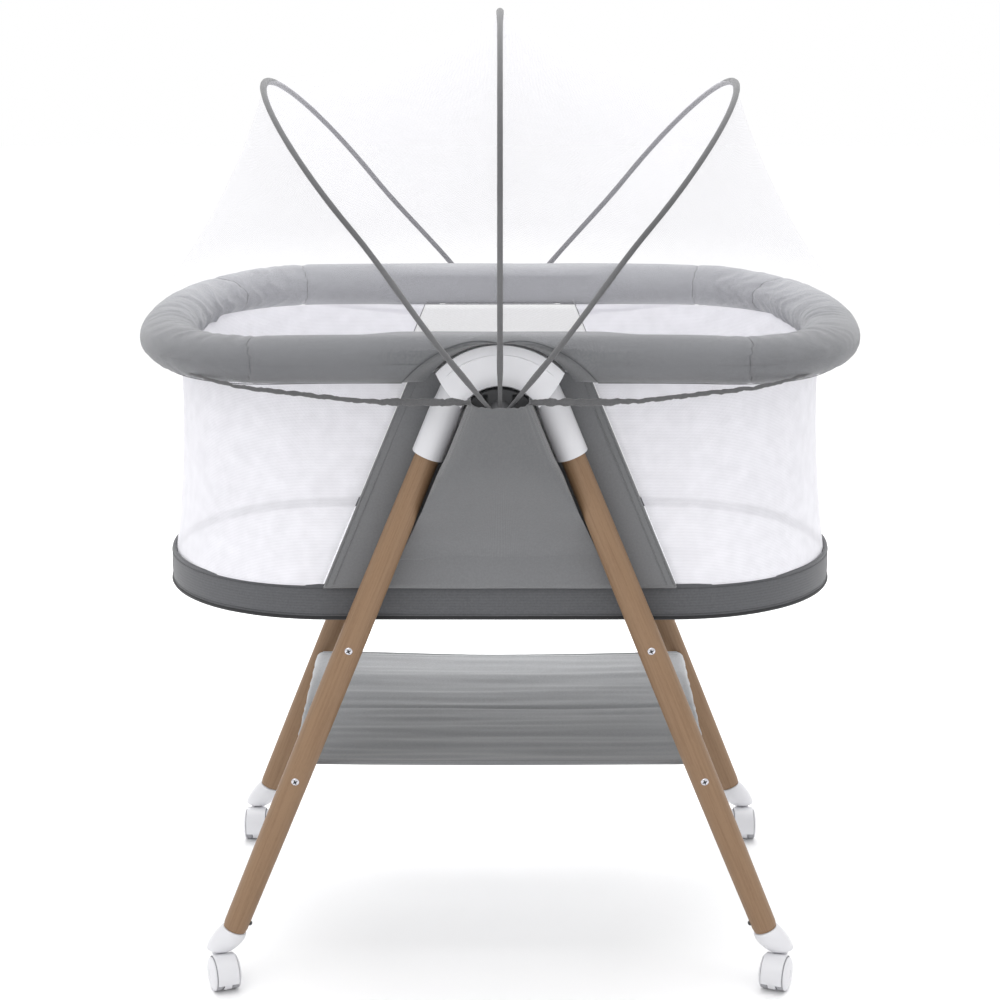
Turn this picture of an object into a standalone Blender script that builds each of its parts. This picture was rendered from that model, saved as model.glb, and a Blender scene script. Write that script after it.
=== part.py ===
"""Bassinet on a wheeled stand: four turned legs, two hub arches, a padded oval cot and a hooped net canopy.

Metres, +Z up, floor at Z = 0, origin under the middle of the cot. The front of the cot faces -Y.
"""

import math

import bmesh
import bpy
from mathutils import Matrix, Vector

# ---------------------------------------------------------------- driving sizes
# Padded rail: an oval with straight sides and rounded ends.
RAIL_LENGTH = 0.840
RAIL_WIDTH = 0.568
RAIL_HEIGHT = 0.744
RAIL_ROUND = 0.181
RAIL_POWER = 2.19
RAIL_END_DROP = 0.008
PAD_WIDTH = 0.068
PAD_HEIGHT = 0.052
RAIL_STRAIGHT = RAIL_LENGTH - 2 * RAIL_ROUND
RAIL_HALF_X = (RAIL_LENGTH - PAD_WIDTH) / 2
RAIL_HALF_Y = (RAIL_WIDTH - PAD_WIDTH) / 2

# Steel tube inside the pad, a little inboard of and below the pad's middle.
TUBE_RADIUS = 0.0065
TUBE_INSET = 0.016
TUBE_BELOW = 0.012
TUBE_GRIP = 0.027

# Hub arches, one at each long side, in the plane of the legs.
HUB_INSET = 0.022
HUB_BELOW_RAIL = 0.081
LEG_PLANE = RAIL_HALF_Y - HUB_INSET
HUB_HEIGHT = RAIL_HEIGHT - HUB_BELOW_RAIL
HUB_OUTER = 0.0966
HUB_INNER = 0.0473
HUB_DEPTH = 0.036
HUB_END_ANGLE = math.radians(42.6)
HUB_INNER_ANGLE = math.radians(30.0)
SLEEVE_RADIUS = 0.0185
SLEEVE_LENGTH = 0.088

# Caster wheels and the height of the angled sockets above them.
WHEEL_RADIUS = 0.020
HOOD_CLEARANCE = 0.0018
HOOD_RADIUS = WHEEL_RADIUS + HOOD_CLEARANCE
SOCKET_ABOVE_HOOD = 0.0017
SOCKET_FOOT = WHEEL_RADIUS + HOOD_RADIUS + SOCKET_ABOVE_HOOD
SOCKET_HEIGHT = 0.024

# Legs, turned with a slight belly, from the sleeve's mouth down to the caster socket.
SLEEVE_DROP = 0.0322
LEG_TOP_X = 0.0797
LEG_TOP_Z = HUB_HEIGHT - SLEEVE_DROP
LEG_FOOT_X = 0.3079
LEG_FOOT_Z = SOCKET_FOOT + SOCKET_HEIGHT
LEG_TOP_RADIUS = 0.0139
LEG_FOOT_RADIUS = 0.0142
LEG_BELLY = 0.0017
LEG_INSERT = 0.055

# Stretchers run from front leg to rear leg and are held by a screw through each leg.
STRETCHER_RADIUS = 0.007
COT_DEPTH = 0.3115
BASE_BOTTOM = RAIL_HEIGHT - COT_DEPTH
UPPER_STRETCHER_BELOW = 0.0231
UPPER_STRETCHER_Z = BASE_BOTTOM - UPPER_STRETCHER_BELOW
LOWER_STRETCHER_Z = 0.2538
SCREW_RADIUS = 0.002
SCREW_HEAD_RADIUS = 0.00475
SCREW_HEAD_HEIGHT = 0.0026
SCREW_SEAT_DEPTH = 0.0015
SCREW_BITE = 0.012

# Storage shelf: a sheet sewn into a sleeve round each lower stretcher.
SHELF_LENGTH = 0.410
SHELF_THICKNESS = 0.002

# Cot: band and floor, board, mattress, side panels and mesh walls.
BASE_TAPER_LENGTH = 0.051
BASE_TAPER_WIDTH = 0.170
BASE_ROUND = 0.2045
BASE_LENGTH = RAIL_LENGTH - BASE_TAPER_LENGTH
BASE_WIDTH = RAIL_WIDTH - BASE_TAPER_WIDTH
BASE_STRAIGHT = BASE_LENGTH - 2 * BASE_ROUND
BASE_POWER = 2.1
BAND_HEIGHT = 0.042
BASE_TOP = BASE_BOTTOM + BAND_HEIGHT
BAND_THICKNESS = 0.003
BOARD_THICKNESS = 0.005
MATTRESS_THICKNESS = 0.026
PANEL_OUTSIDE_BAND = 0.0045
PANEL_PLANE = BASE_WIDTH / 2 + PANEL_OUTSIDE_BAND
PANEL_THICKNESS = 0.004
PANEL_BELOW_RAIL = 0.014
PANEL_TOP = RAIL_HEIGHT - PANEL_BELOW_RAIL
PANEL_TOP_HALF = 0.0925
PANEL_FOOT_HALF = 0.198
WALL_THICKNESS = 0.002
WALL_BELOW_RAIL = 0.038
WALL_TOP = RAIL_HEIGHT - WALL_BELOW_RAIL
WALL_TOP_LENGTH = RAIL_LENGTH - 0.088
WALL_TOP_WIDTH = RAIL_WIDTH - 0.164
WALL_FOOT_LENGTH = BASE_LENGTH - 0.013
WALL_FOOT_WIDTH = BASE_WIDTH - 0.005

# Canopy hoops, hinged on one axis along Y at each hub.
PIVOT_ABOVE_HUB = 0.022
PIVOT_HEIGHT = HUB_HEIGHT + PIVOT_ABOVE_HUB
HOOP_ANGLE = math.radians(39.0)
HOOP_RADIUS = 0.430
CENTRE_HOOP_RADIUS = 0.414
HOOP_WIRE = 0.0023
HOOP_SHOULDER = 0.260
HOOP_INSET = 0.010
HOOP_HALF_WIDTH = RAIL_HALF_Y - HOOP_INSET
HOOP_POWER = 2.0
CRANK_ABOVE_RAIL = 0.00262
CRANK_REACH = 0.048
CRANK_LOW = (RAIL_HEIGHT + PAD_HEIGHT / 2 - PIVOT_HEIGHT) / math.cos(HOOP_ANGLE) + CRANK_ABOVE_RAIL
CRANK_HIGH = CRANK_LOW + CRANK_REACH
EYE_RADIUS = 0.0065
EYE_THICKNESS = 0.0044
EYE_PITCH = 0.0052
PIN_RADIUS = 0.003
BOSS_RADIUS = 0.012
BOSS_OUTSIDE_RAIL = 0.0025
BOSS_FACE = RAIL_WIDTH / 2 + BOSS_OUTSIDE_RAIL
PIN_HEAD = 0.0020
NET_THICKNESS = 0.0015
NET_SAG = 0.025
NET_START = 0.120

# Twin-wheel casters on an angled socket at each leg.
SWIVEL_OUTSIDE_LEG = 0.0181
SWIVEL_X = LEG_FOOT_X + SWIVEL_OUTSIDE_LEG
TRAIL = 0.018
FRONT_YAW = math.radians(22.0)
WHEEL_INNER = 0.0052
WHEEL_OUTER = 0.0170
WHEEL_CAP = 0.0150
HOOD_HALF = 0.0125
WEB_HALF = 0.0045
HOOD_FOOT = 0.0045
SOCKET_RADIUS = 0.0170
SOCKET_SWELL = 0.0045
SPIGOT_RADIUS = 0.0072
SPIGOT_LENGTH = 0.019
STEM_RADIUS = 0.004
STEM_BITE = 0.0125
STEM_TOP = SOCKET_FOOT + STEM_BITE
NECK_RADIUS = 0.0078
AXLE_RADIUS = 0.0025
LEVER_PIVOT_Y = 0.0095
LEVER_ABOVE_AXLE = 0.011
LEVER_PIVOT_Z = WHEEL_RADIUS + LEVER_ABOVE_AXLE
LEVER_REACH = 0.0165

# Clearances.
TOUCH_GAP = 0.0004
FIT_GAP = 0.0003
PAD_GAP = 0.002
BRACKET_GAP = 0.0018

# Facets.
FINE_SIDES = 24
ROUND_SIDES = 16
SMALL_SIDES = 10
CRANK_STEPS = 3

SIDES = (("left", -1), ("right", 1))
ENDS = (("front", -1), ("rear", 1))

LEG_TILT = math.atan2(LEG_FOOT_X - LEG_TOP_X, LEG_TOP_Z - LEG_FOOT_Z)
LEG_LENGTH = math.hypot(LEG_FOOT_X - LEG_TOP_X, LEG_TOP_Z - LEG_FOOT_Z)


# ---------------------------------------------------------------- scene helpers
def clear_scene():
    for obj in list(bpy.data.objects):
        bpy.data.objects.remove(obj, do_unlink=True)


def collection(name):
    made = bpy.data.collections.new(name)
    bpy.context.scene.collection.children.link(made)
    return made


def finish(name, colour, roughness, metallic=0.0):
    material = bpy.data.materials.new(name)
    material.use_nodes = True
    shader = material.node_tree.nodes["Principled BSDF"]
    shader.inputs["Base Color"].default_value = (*colour, 1.0)
    shader.inputs["Roughness"].default_value = roughness
    shader.inputs["Metallic"].default_value = metallic
    return material


def shade(mesh, degrees=35.0):
    mesh.shade_smooth()
    mesh.set_sharp_from_angle(angle=math.radians(degrees))


def place(name, mesh, material, matrix=None, parent=None):
    """A finished sub-part in the bassinet's collection."""
    obj = bpy.data.objects.new(name, mesh)
    PARTS.objects.link(obj)
    obj.data.materials.append(material)
    if parent is not None:
        obj.parent = parent
    if matrix is not None:
        obj.matrix_local = matrix
    return obj


def tool(name, mesh, matrix=None, parent=None):
    """A shape that only cuts or joins another one."""
    obj = bpy.data.objects.new(name, mesh)
    TOOLS.objects.link(obj)
    obj.hide_render = True
    obj.display_type = "WIRE"
    if parent is not None:
        obj.parent = parent
    if matrix is not None:
        obj.matrix_local = matrix
    return obj


def combine(obj, other, operation):
    modifier = obj.modifiers.new(f"{operation.lower()} {other.name}", "BOOLEAN")
    modifier.operation = operation
    modifier.solver = "EXACT"
    modifier.object = other


def cut(obj, other):
    combine(obj, other, "DIFFERENCE")


def join(obj, other):
    combine(obj, other, "UNION")


def mesh_of(name, bm):
    bmesh.ops.recalc_face_normals(bm, faces=bm.faces)
    mesh = bpy.data.meshes.new(name)
    bm.to_mesh(mesh)
    bm.free()
    shade(mesh)
    return mesh


def about_y(angle):
    return Matrix.Rotation(angle, 4, "Y")


def at(x, y, z):
    return Matrix.Translation((x, y, z))


# ---------------------------------------------------------------- shape helpers
def turned(name, profile, sides):
    """A solid turned about Z. The profile runs down the outer side, top to bottom, as (radius, height)."""
    mesh = bpy.data.meshes.new(name)
    points = [(radius, 0.0, height) for radius, height in profile]
    edges = [(i, i + 1) for i in range(len(points) - 1)]
    mesh.from_pydata(points, edges, [])
    obj = bpy.data.objects.new(name, mesh)
    bpy.context.scene.collection.objects.link(obj)
    screw = obj.modifiers.new("turn", "SCREW")
    screw.axis = "Z"
    screw.steps = sides
    screw.render_steps = sides
    screw.use_merge_vertices = True
    screw.merge_threshold = 0.00001
    graph = bpy.context.evaluated_depsgraph_get()
    made = bpy.data.meshes.new_from_object(obj.evaluated_get(graph))
    bpy.data.objects.remove(obj, do_unlink=True)
    bm = bmesh.new()
    bm.from_mesh(made)
    bmesh.ops.remove_doubles(bm, verts=bm.verts, dist=0.000001)
    return mesh_of(name, bm)


def rod(name, radius, low, high, sides=ROUND_SIDES):
    """A plain cylinder along Z from low to high."""
    bm = bmesh.new()
    bmesh.ops.create_cone(
        bm,
        cap_ends=True,
        segments=sides,
        radius1=radius,
        radius2=radius,
        depth=high - low,
        matrix=at(0, 0, (low + high) / 2),
    )
    return mesh_of(name, bm)


def block(name, low, high):
    """A box between two corners."""
    low = Vector(low)
    high = Vector(high)
    bm = bmesh.new()
    size = high - low
    scale = Matrix.Diagonal((size.x, size.y, size.z, 1.0))
    bmesh.ops.create_cube(bm, size=1.0, matrix=Matrix.Translation((low + high) / 2) @ scale)
    return mesh_of(name, bm)


def plate(name, outline, low, high):
    """A flat outline in X and Z, pushed out from Y = low to Y = high."""
    bm = bmesh.new()
    face = bm.faces.new([bm.verts.new((x, low, z)) for x, z in outline])
    pushed = bmesh.ops.extrude_face_region(bm, geom=[face])
    moved = [item for item in pushed["geom"] if isinstance(item, bmesh.types.BMVert)]
    bmesh.ops.translate(bm, verts=moved, vec=(0, high - low, 0))
    return mesh_of(name, bm)


def slab(name, outline, low, high):
    """A flat outline in X and Y, pushed up from Z = low to Z = high."""
    bm = bmesh.new()
    face = bm.faces.new([bm.verts.new((x, y, low)) for x, y in outline])
    pushed = bmesh.ops.extrude_face_region(bm, geom=[face])
    moved = [item for item in pushed["geom"] if isinstance(item, bmesh.types.BMVert)]
    bmesh.ops.translate(bm, verts=moved, vec=(0, 0, high - low))
    return mesh_of(name, bm)


def wire(name, points, radius, cyclic=False, section=None):
    """A tube along points, or a closed bar with its own cross-section, made a mesh."""
    curve = bpy.data.curves.new(name, "CURVE")
    curve.dimensions = "3D"
    curve.twist_mode = "Z_UP"
    spline = curve.splines.new("POLY")
    spline.points.add(len(points) - 1)
    for knot, point in zip(spline.points, points):
        knot.co = (*point, 1.0)
    spline.use_cyclic_u = cyclic
    if section is None:
        curve.bevel_depth = radius
        curve.bevel_resolution = 2
    else:
        curve.bevel_mode = "OBJECT"
        curve.bevel_object = section
    curve.use_fill_caps = not cyclic
    obj = bpy.data.objects.new(name, curve)
    bpy.context.scene.collection.objects.link(obj)
    bpy.context.view_layer.update()
    graph = bpy.context.evaluated_depsgraph_get()
    made = bpy.data.meshes.new_from_object(obj.evaluated_get(graph))
    bpy.data.objects.remove(obj, do_unlink=True)
    bm = bmesh.new()
    bm.from_mesh(made)
    bmesh.ops.remove_doubles(bm, verts=bm.verts, dist=0.00001)
    return mesh_of(name, bm)


def ellipse_section(name, half_width, half_height, sides):
    curve = bpy.data.curves.new(name, "CURVE")
    curve.dimensions = "2D"
    spline = curve.splines.new("POLY")
    spline.points.add(sides - 1)
    for i, knot in enumerate(spline.points):
        turn = 2 * math.pi * i / sides
        knot.co = (half_width * math.cos(turn), half_height * math.sin(turn), 0.0, 1.0)
    spline.use_cyclic_u = True
    obj = bpy.data.objects.new(name, curve)
    TOOLS.objects.link(obj)
    obj.hide_render = True
    return obj


def quarter_end(half_x, half_y, straight, power, steps):
    """The rounded quarter from the straight side at (straight/2, half_y) to the tip at (half_x, 0)."""
    reach = half_x - straight / 2
    points = []
    for i in range(steps + 1):
        turn = math.pi / 2 * i / steps
        x = straight / 2 + reach * math.sin(turn) ** (2 / power)
        y = half_y * max(math.cos(turn), 0.0) ** (2 / power)
        points.append((x, y))
    return points


def half_oval(half_x, half_y, straight, power, steps, start_x):
    """Half of the oval on the +X side, from (start_x, -half_y) round the end to (start_x, half_y)."""
    quarter = quarter_end(half_x, half_y, straight, power, steps)
    front = [(x, -y) for x, y in quarter]
    rear = [(x, y) for x, y in reversed(quarter[:-1])]
    return [(start_x, -half_y)] + front + rear + [(start_x, half_y)]


def oval(half_x, half_y, straight, power, steps):
    """The whole oval, with a point in the middle of each straight side."""
    right = half_oval(half_x, half_y, straight, power, steps, 0.0)
    left = [(-x, y) for x, y in reversed(right[1:-1])]
    return right + left


def rail_drop(x):
    """The rail's ends hang a little below its middle."""
    return RAIL_END_DROP * (abs(x) / RAIL_HALF_X) ** 4


def leg_x(z):
    """Distance of a leg's axis from the middle at height z."""
    return LEG_FOOT_X - (z - LEG_FOOT_Z) * math.tan(LEG_TILT)


def leg_radius(along):
    """Radius of the leg at a distance from its foot."""
    share = min(max(along / LEG_LENGTH, 0.0), 1.0)
    straight = LEG_FOOT_RADIUS + (LEG_TOP_RADIUS - LEG_FOOT_RADIUS) * share
    return straight + LEG_BELLY * math.sin(math.pi * share)


def leg_matrix(sx, sy):
    """Foot of a leg at the origin, its axis along local Z."""
    return at(sx * LEG_FOOT_X, sy * LEG_PLANE, LEG_FOOT_Z) @ about_y(-sx * LEG_TILT)


# ---------------------------------------------------------------- stand
def screw_places():
    for level, z in (("upper", UPPER_STRETCHER_Z), ("lower", LOWER_STRETCHER_Z)):
        along = (z - LEG_FOOT_Z) / math.cos(LEG_TILT)
        yield level, z, leg_radius(along)


def outward(sx, sy, z):
    """A frame on a leg's axis at height z whose Z points away from the cot along Y."""
    turn = Matrix.Rotation(-sy * math.pi / 2, 4, "X")
    return at(sx * leg_x(z), sy * LEG_PLANE, z) @ turn


def make_leg(side, sx, end, sy):
    stations = 9
    profile = [(0.0, LEG_LENGTH + LEG_INSERT), (LEG_TOP_RADIUS, LEG_LENGTH + LEG_INSERT)]
    for i in range(stations, -1, -1):
        along = LEG_LENGTH * i / stations
        profile.append((leg_radius(along), along))
    profile.append((0.0, 0.0))
    name = f"leg_{end}_{side}"
    leg = place(name, turned(name, profile, ROUND_SIDES), BEECH, leg_matrix(sx, sy))
    spigot_hole = rod(
        f"{name}_spigot_hole", SPIGOT_RADIUS + FIT_GAP, -0.002, SPIGOT_LENGTH + 2 * FIT_GAP, 12
    )
    cut(leg, tool(f"{name}_spigot_hole", spigot_hole, leg_matrix(sx, sy)))
    for level, z, radius in screw_places():
        over = radius + 0.003
        shape = [
            (0.0, over),
            (SCREW_HEAD_RADIUS + 2 * FIT_GAP, over),
            (SCREW_HEAD_RADIUS + 2 * FIT_GAP, radius - SCREW_SEAT_DEPTH),
            (SCREW_RADIUS + FIT_GAP, radius - SCREW_SEAT_DEPTH),
            (SCREW_RADIUS + FIT_GAP, -over),
            (0.0, -over),
        ]
        hole = turned(f"{name}_{level}_hole", shape, SMALL_SIDES)
        cut(leg, tool(f"{name}_{level}_hole", hole, outward(sx, sy, z)))
    return leg


def make_screws(side, sx, end, sy):
    for level, z, radius in screw_places():
        seat = radius - SCREW_SEAT_DEPTH + FIT_GAP
        shape = [
            (0.0, seat + SCREW_HEAD_HEIGHT),
            (0.6 * SCREW_HEAD_RADIUS, seat + 0.85 * SCREW_HEAD_HEIGHT),
            (SCREW_HEAD_RADIUS, seat + 0.3 * SCREW_HEAD_HEIGHT),
            (SCREW_HEAD_RADIUS, seat),
            (SCREW_RADIUS, seat),
            (SCREW_RADIUS, -radius - SCREW_BITE),
            (0.0, -radius - SCREW_BITE),
        ]
        name = f"leg_screw_{level}_{end}_{side}"
        place(name, turned(name, shape, SMALL_SIDES), CHROME, outward(sx, sy, z))


def make_stretchers(side, sx):
    for level, z, radius in screw_places():
        half = LEG_PLANE - radius - TOUCH_GAP
        bore = SCREW_RADIUS + FIT_GAP
        floor = half - SCREW_BITE - 0.002
        shape = [
            (0.0, floor),
            (bore, floor),
            (bore, half),
            (STRETCHER_RADIUS, half),
            (STRETCHER_RADIUS, -half),
            (bore, -half),
            (bore, -floor),
            (0.0, -floor),
        ]
        name = f"stretcher_{level}_{side}"
        along_y = at(sx * leg_x(z), 0, z) @ Matrix.Rotation(-math.pi / 2, 4, "X")
        place(name, turned(name, shape, ROUND_SIDES), STEEL, along_y)


def arc(radius, start, end, steps):
    return [
        (
            radius * math.cos(start + (end - start) * i / steps),
            HUB_HEIGHT + radius * math.sin(start + (end - start) * i / steps),
        )
        for i in range(steps + 1)
    ]


def make_hub(end, sy):
    """The horseshoe with a sleeve for each leg and a socket for each rail tube."""
    outline = arc(HUB_OUTER, HUB_END_ANGLE, math.pi - HUB_END_ANGLE, 18)
    outline += arc(HUB_INNER, math.pi - HUB_INNER_ANGLE, HUB_INNER_ANGLE, 14)
    near = sy * LEG_PLANE - HUB_DEPTH / 2
    name = f"hub_arch_{end}"
    hub = place(name, plate(name, outline, near, near + HUB_DEPTH), WHITE_PLASTIC)
    for side, sx in SIDES:
        axis = leg_matrix(sx, sy) @ at(0, 0, LEG_LENGTH)
        sleeve = rod(f"{name}_sleeve_{side}", SLEEVE_RADIUS, 0.0, SLEEVE_LENGTH, FINE_SIDES)
        join(hub, tool(f"{name}_sleeve_{side}", sleeve, axis))
    for side, sx in SIDES:
        axis = leg_matrix(sx, sy) @ at(0, 0, LEG_LENGTH)
        bore = rod(
            f"{name}_bore_{side}",
            LEG_TOP_RADIUS + TOUCH_GAP,
            -0.005,
            LEG_INSERT + 5 * FIT_GAP,
        )
        cut(hub, tool(f"{name}_bore_{side}", bore, axis))
        ends = sorted((sx * (tube_end_x() - 0.001), sx * 2 * HUB_OUTER))
        socket = rod(f"{name}_tube_hole_{side}", TUBE_RADIUS + TOUCH_GAP, ends[0], ends[1], 8)
        across = at(0, sy * tube_plane(), tube_height()) @ about_y(math.pi / 2)
        cut(hub, tool(f"{name}_tube_hole_{side}", socket, across))
    return hub


def tube_plane():
    return RAIL_HALF_Y - TUBE_INSET


def tube_height():
    return RAIL_HEIGHT - TUBE_BELOW


def tube_end_x():
    """Where a rail tube stops inside the hub arch."""
    crown = math.sqrt(HUB_OUTER**2 - (tube_height() + TUBE_RADIUS - HUB_HEIGHT) ** 2)
    return crown - TUBE_GRIP


def make_pivot_bracket(end, sy):
    """The dark plate inside the arch, with a boss and a headed pin for the hoops' eyes."""
    outline = arc(HUB_INNER - BRACKET_GAP, 0.0, math.pi, 16)
    foot = HUB_HEIGHT - 0.022
    outline += [(-0.024, foot), (0.024, foot)]
    front = LEG_PLANE + HUB_DEPTH / 2 - 0.002
    back = front - 0.006
    name = f"pivot_bracket_{end}"
    low, high = sorted((sy * back, sy * front))
    bracket = place(name, plate(name, outline, low, high), DARK_PLASTIC)
    stack = BOSS_FACE + 3 * EYE_PITCH
    shape = [
        (0.0, stack + PIN_HEAD),
        (2 * PIN_RADIUS, stack + PIN_HEAD),
        (2 * PIN_RADIUS, stack),
        (PIN_RADIUS, stack),
        (PIN_RADIUS, BOSS_FACE),
        (BOSS_RADIUS, BOSS_FACE),
        (BOSS_RADIUS, back + 0.001),
        (0.0, back + 0.001),
    ]
    boss = turned(f"{name}_boss", shape, ROUND_SIDES)
    turn = Matrix.Rotation(-sy * math.pi / 2, 4, "X")
    join(bracket, tool(f"{name}_boss", boss, at(0, 0, PIVOT_HEIGHT) @ turn))
    for side, sx in SIDES:
        low_x, high_x = sorted((sx * 0.0135, sx * 0.0185))
        slot = block(
            f"{name}_slot_{side}",
            (low_x, min(sy * back, sy * front) - 0.002, PIVOT_HEIGHT + 0.006),
            (high_x, max(sy * back, sy * front) + 0.002, PIVOT_HEIGHT + 0.018),
        )
        cut(bracket, tool(f"{name}_slot_{side}", slot))


def make_shelf():
    """The sheet and the two sewn sleeves that slide over the lower stretchers."""
    x = leg_x(LOWER_STRETCHER_Z)
    inner = STRETCHER_RADIUS + TOUCH_GAP
    outer = inner + SHELF_THICKNESS
    top = LOWER_STRETCHER_Z + outer
    half = SHELF_LENGTH / 2
    sheet = block("storage_shelf", (-x, -half, top - SHELF_THICKNESS), (x, half, top))
    shelf = place("storage_shelf", sheet, SHELF_CLOTH)
    along_y = Matrix.Rotation(-math.pi / 2, 4, "X")
    for side, sx in SIDES:
        sleeve = rod(f"shelf_sleeve_{side}", outer, -half, half, ROUND_SIDES)
        join(shelf, tool(f"shelf_sleeve_{side}", sleeve, at(sx * x, 0, LOWER_STRETCHER_Z) @ along_y))
    for side, sx in SIDES:
        bore = rod(f"shelf_bore_{side}", inner, -half - 0.01, half + 0.01, ROUND_SIDES)
        cut(shelf, tool(f"shelf_bore_{side}", bore, at(sx * x, 0, LOWER_STRETCHER_Z) @ along_y))


# ---------------------------------------------------------------- casters
def make_socket(side, sx, end, sy):
    """An angled plastic socket: round on the leg's end above, flat and round over the caster below."""
    top_frame = leg_matrix(sx, sy) @ at(0, 0, -TOUCH_GAP)
    levels = 4
    bm = bmesh.new()
    rings = []
    for i in range(levels + 1):
        share = i / levels
        ring = []
        for k in range(ROUND_SIDES):
            turn = 2 * math.pi * k / ROUND_SIDES
            spot = Vector((math.cos(turn), math.sin(turn), 0.0))
            upper = top_frame @ (spot * (LEG_FOOT_RADIUS - FIT_GAP))
            lower = Vector((sx * SWIVEL_X, sy * LEG_PLANE, SOCKET_FOOT)) + spot * SOCKET_RADIUS
            point = upper.lerp(lower, share)
            middle = Vector((sx * (LEG_FOOT_X + SWIVEL_X) / 2, sy * LEG_PLANE, point.z))
            swell = SOCKET_SWELL * math.sin(math.pi * share)
            point += (point - middle).normalized() * swell
            ring.append(bm.verts.new(point))
        rings.append(ring)
    for above, below in zip(rings, rings[1:]):
        for k in range(ROUND_SIDES):
            n = (k + 1) % ROUND_SIDES
            bm.faces.new((above[k], above[n], below[n], below[k]))
    bm.faces.new(rings[0])
    bm.faces.new(rings[-1])
    name = f"caster_socket_{end}_{side}"
    socket = place(name, mesh_of(name, bm), WHITE_PLASTIC)
    spigot = rod(f"{name}_spigot", SPIGOT_RADIUS, -0.004, SPIGOT_LENGTH, 12)
    join(socket, tool(f"{name}_spigot", spigot, leg_matrix(sx, sy)))
    bore = rod(
        f"{name}_bore", STEM_RADIUS + FIT_GAP, SOCKET_FOOT - 0.004, STEM_TOP + 2 * FIT_GAP, 12
    )
    cut(socket, tool(f"{name}_bore", bore, at(sx * SWIVEL_X, sy * LEG_PLANE, 0)))


def caster_frame(side, sx, end, sy):
    """The swivel axis of one caster: Z is the axis, -Y is the way the wheels trail, X is the axle."""
    frame = bpy.data.objects.new(f"swivel_{end}_{side}", None)
    PARTS.objects.link(frame)
    frame.location = (sx * SWIVEL_X, sy * LEG_PLANE, 0.0)
    if end == "front":
        frame.rotation_euler = (0.0, 0.0, -sx * FRONT_YAW)
    return frame


def axle_matrix():
    """Local Z along the axle, local X pointing at the floor."""
    return at(0, -TRAIL, WHEEL_RADIUS) @ about_y(math.pi / 2)


def make_hood(side, end, frame):
    name = f"caster_hood_{end}_{side}"
    drum = rod(name, HOOD_RADIUS, -HOOD_HALF, HOOD_HALF, 20)
    hood = place(name, drum, WHITE_PLASTIC, axle_matrix(), frame)
    neck_top = SOCKET_FOOT - TOUCH_GAP
    shape = [
        (0.0, STEM_TOP),
        (STEM_RADIUS, STEM_TOP),
        (STEM_RADIUS, neck_top),
        (NECK_RADIUS, neck_top),
        (NECK_RADIUS, WHEEL_RADIUS),
        (0.0, WHEEL_RADIUS),
    ]
    neck = turned(f"{name}_neck", shape, ROUND_SIDES)
    join(hood, tool(f"{name}_neck", neck, None, frame))
    if end == "front":
        ear = block(
            f"{name}_ears",
            (-WEB_HALF, 0.002, LEVER_PIVOT_Z - 0.0035),
            (WEB_HALF, LEVER_PIVOT_Y + 0.0032, LEVER_PIVOT_Z + 0.0035),
        )
        join(hood, tool(f"{name}_ears", ear, None, frame))
    for hand in (-1, 1):
        low, high = sorted((hand * WEB_HALF, hand * (HOOD_HALF + 0.003)))
        pocket = rod(f"{name}_pocket", WHEEL_RADIUS + 0.0005, low, high, 20)
        cut(hood, tool(f"{name}_pocket", pocket, axle_matrix(), frame))
    reach = 2 * HOOD_RADIUS
    under = block(
        f"{name}_under", (-reach, -TRAIL - reach, -reach), (reach, -TRAIL + reach, HOOD_FOOT)
    )
    cut(hood, tool(f"{name}_under", under, None, frame))
    hole = rod(f"{name}_axle_hole", AXLE_RADIUS + FIT_GAP, -2 * WEB_HALF, 2 * WEB_HALF, 12)
    cut(hood, tool(f"{name}_axle_hole", hole, axle_matrix(), frame))
    if end == "front":
        gap = block(
            f"{name}_lever_slot",
            (-0.0026, LEVER_PIVOT_Y - 0.0032, LEVER_PIVOT_Z - 0.006),
            (0.0026, LEVER_PIVOT_Y + 0.006, LEVER_PIVOT_Z + 0.006),
        )
        cut(hood, tool(f"{name}_lever_slot", gap, None, frame))
        pin_hole = rod(f"{name}_lever_hole", 0.0015, -2 * WEB_HALF, 2 * WEB_HALF, 8)
        across = at(0, LEVER_PIVOT_Y, LEVER_PIVOT_Z) @ about_y(math.pi / 2)
        cut(hood, tool(f"{name}_lever_hole", pin_hole, across, frame))


def make_axle_and_wheels(side, end, frame):
    half_axle = WHEEL_CAP - 2 * FIT_GAP
    name = f"caster_axle_{end}_{side}"
    place(name, rod(name, AXLE_RADIUS, -half_axle, half_axle, 12), STEEL, axle_matrix(), frame)
    bore = AXLE_RADIUS + FIT_GAP
    shape = [
        (0.0, WHEEL_OUTER),
        (0.4 * WHEEL_RADIUS, WHEEL_OUTER),
        (0.9 * WHEEL_RADIUS, WHEEL_OUTER - 0.0012),
        (WHEEL_RADIUS, WHEEL_OUTER - 0.0030),
        (WHEEL_RADIUS, WHEEL_INNER),
        (bore, WHEEL_INNER),
        (bore, WHEEL_CAP),
        (0.0, WHEEL_CAP),
    ]
    for hand, word in ((-1, "a"), (1, "b")):
        name = f"wheel_{end}_{side}_{word}"
        turn = axle_matrix() if hand == 1 else axle_matrix() @ Matrix.Rotation(math.pi, 4, "X")
        place(name, turned(name, shape, 20), WHITE_PLASTIC, turn, frame)


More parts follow.
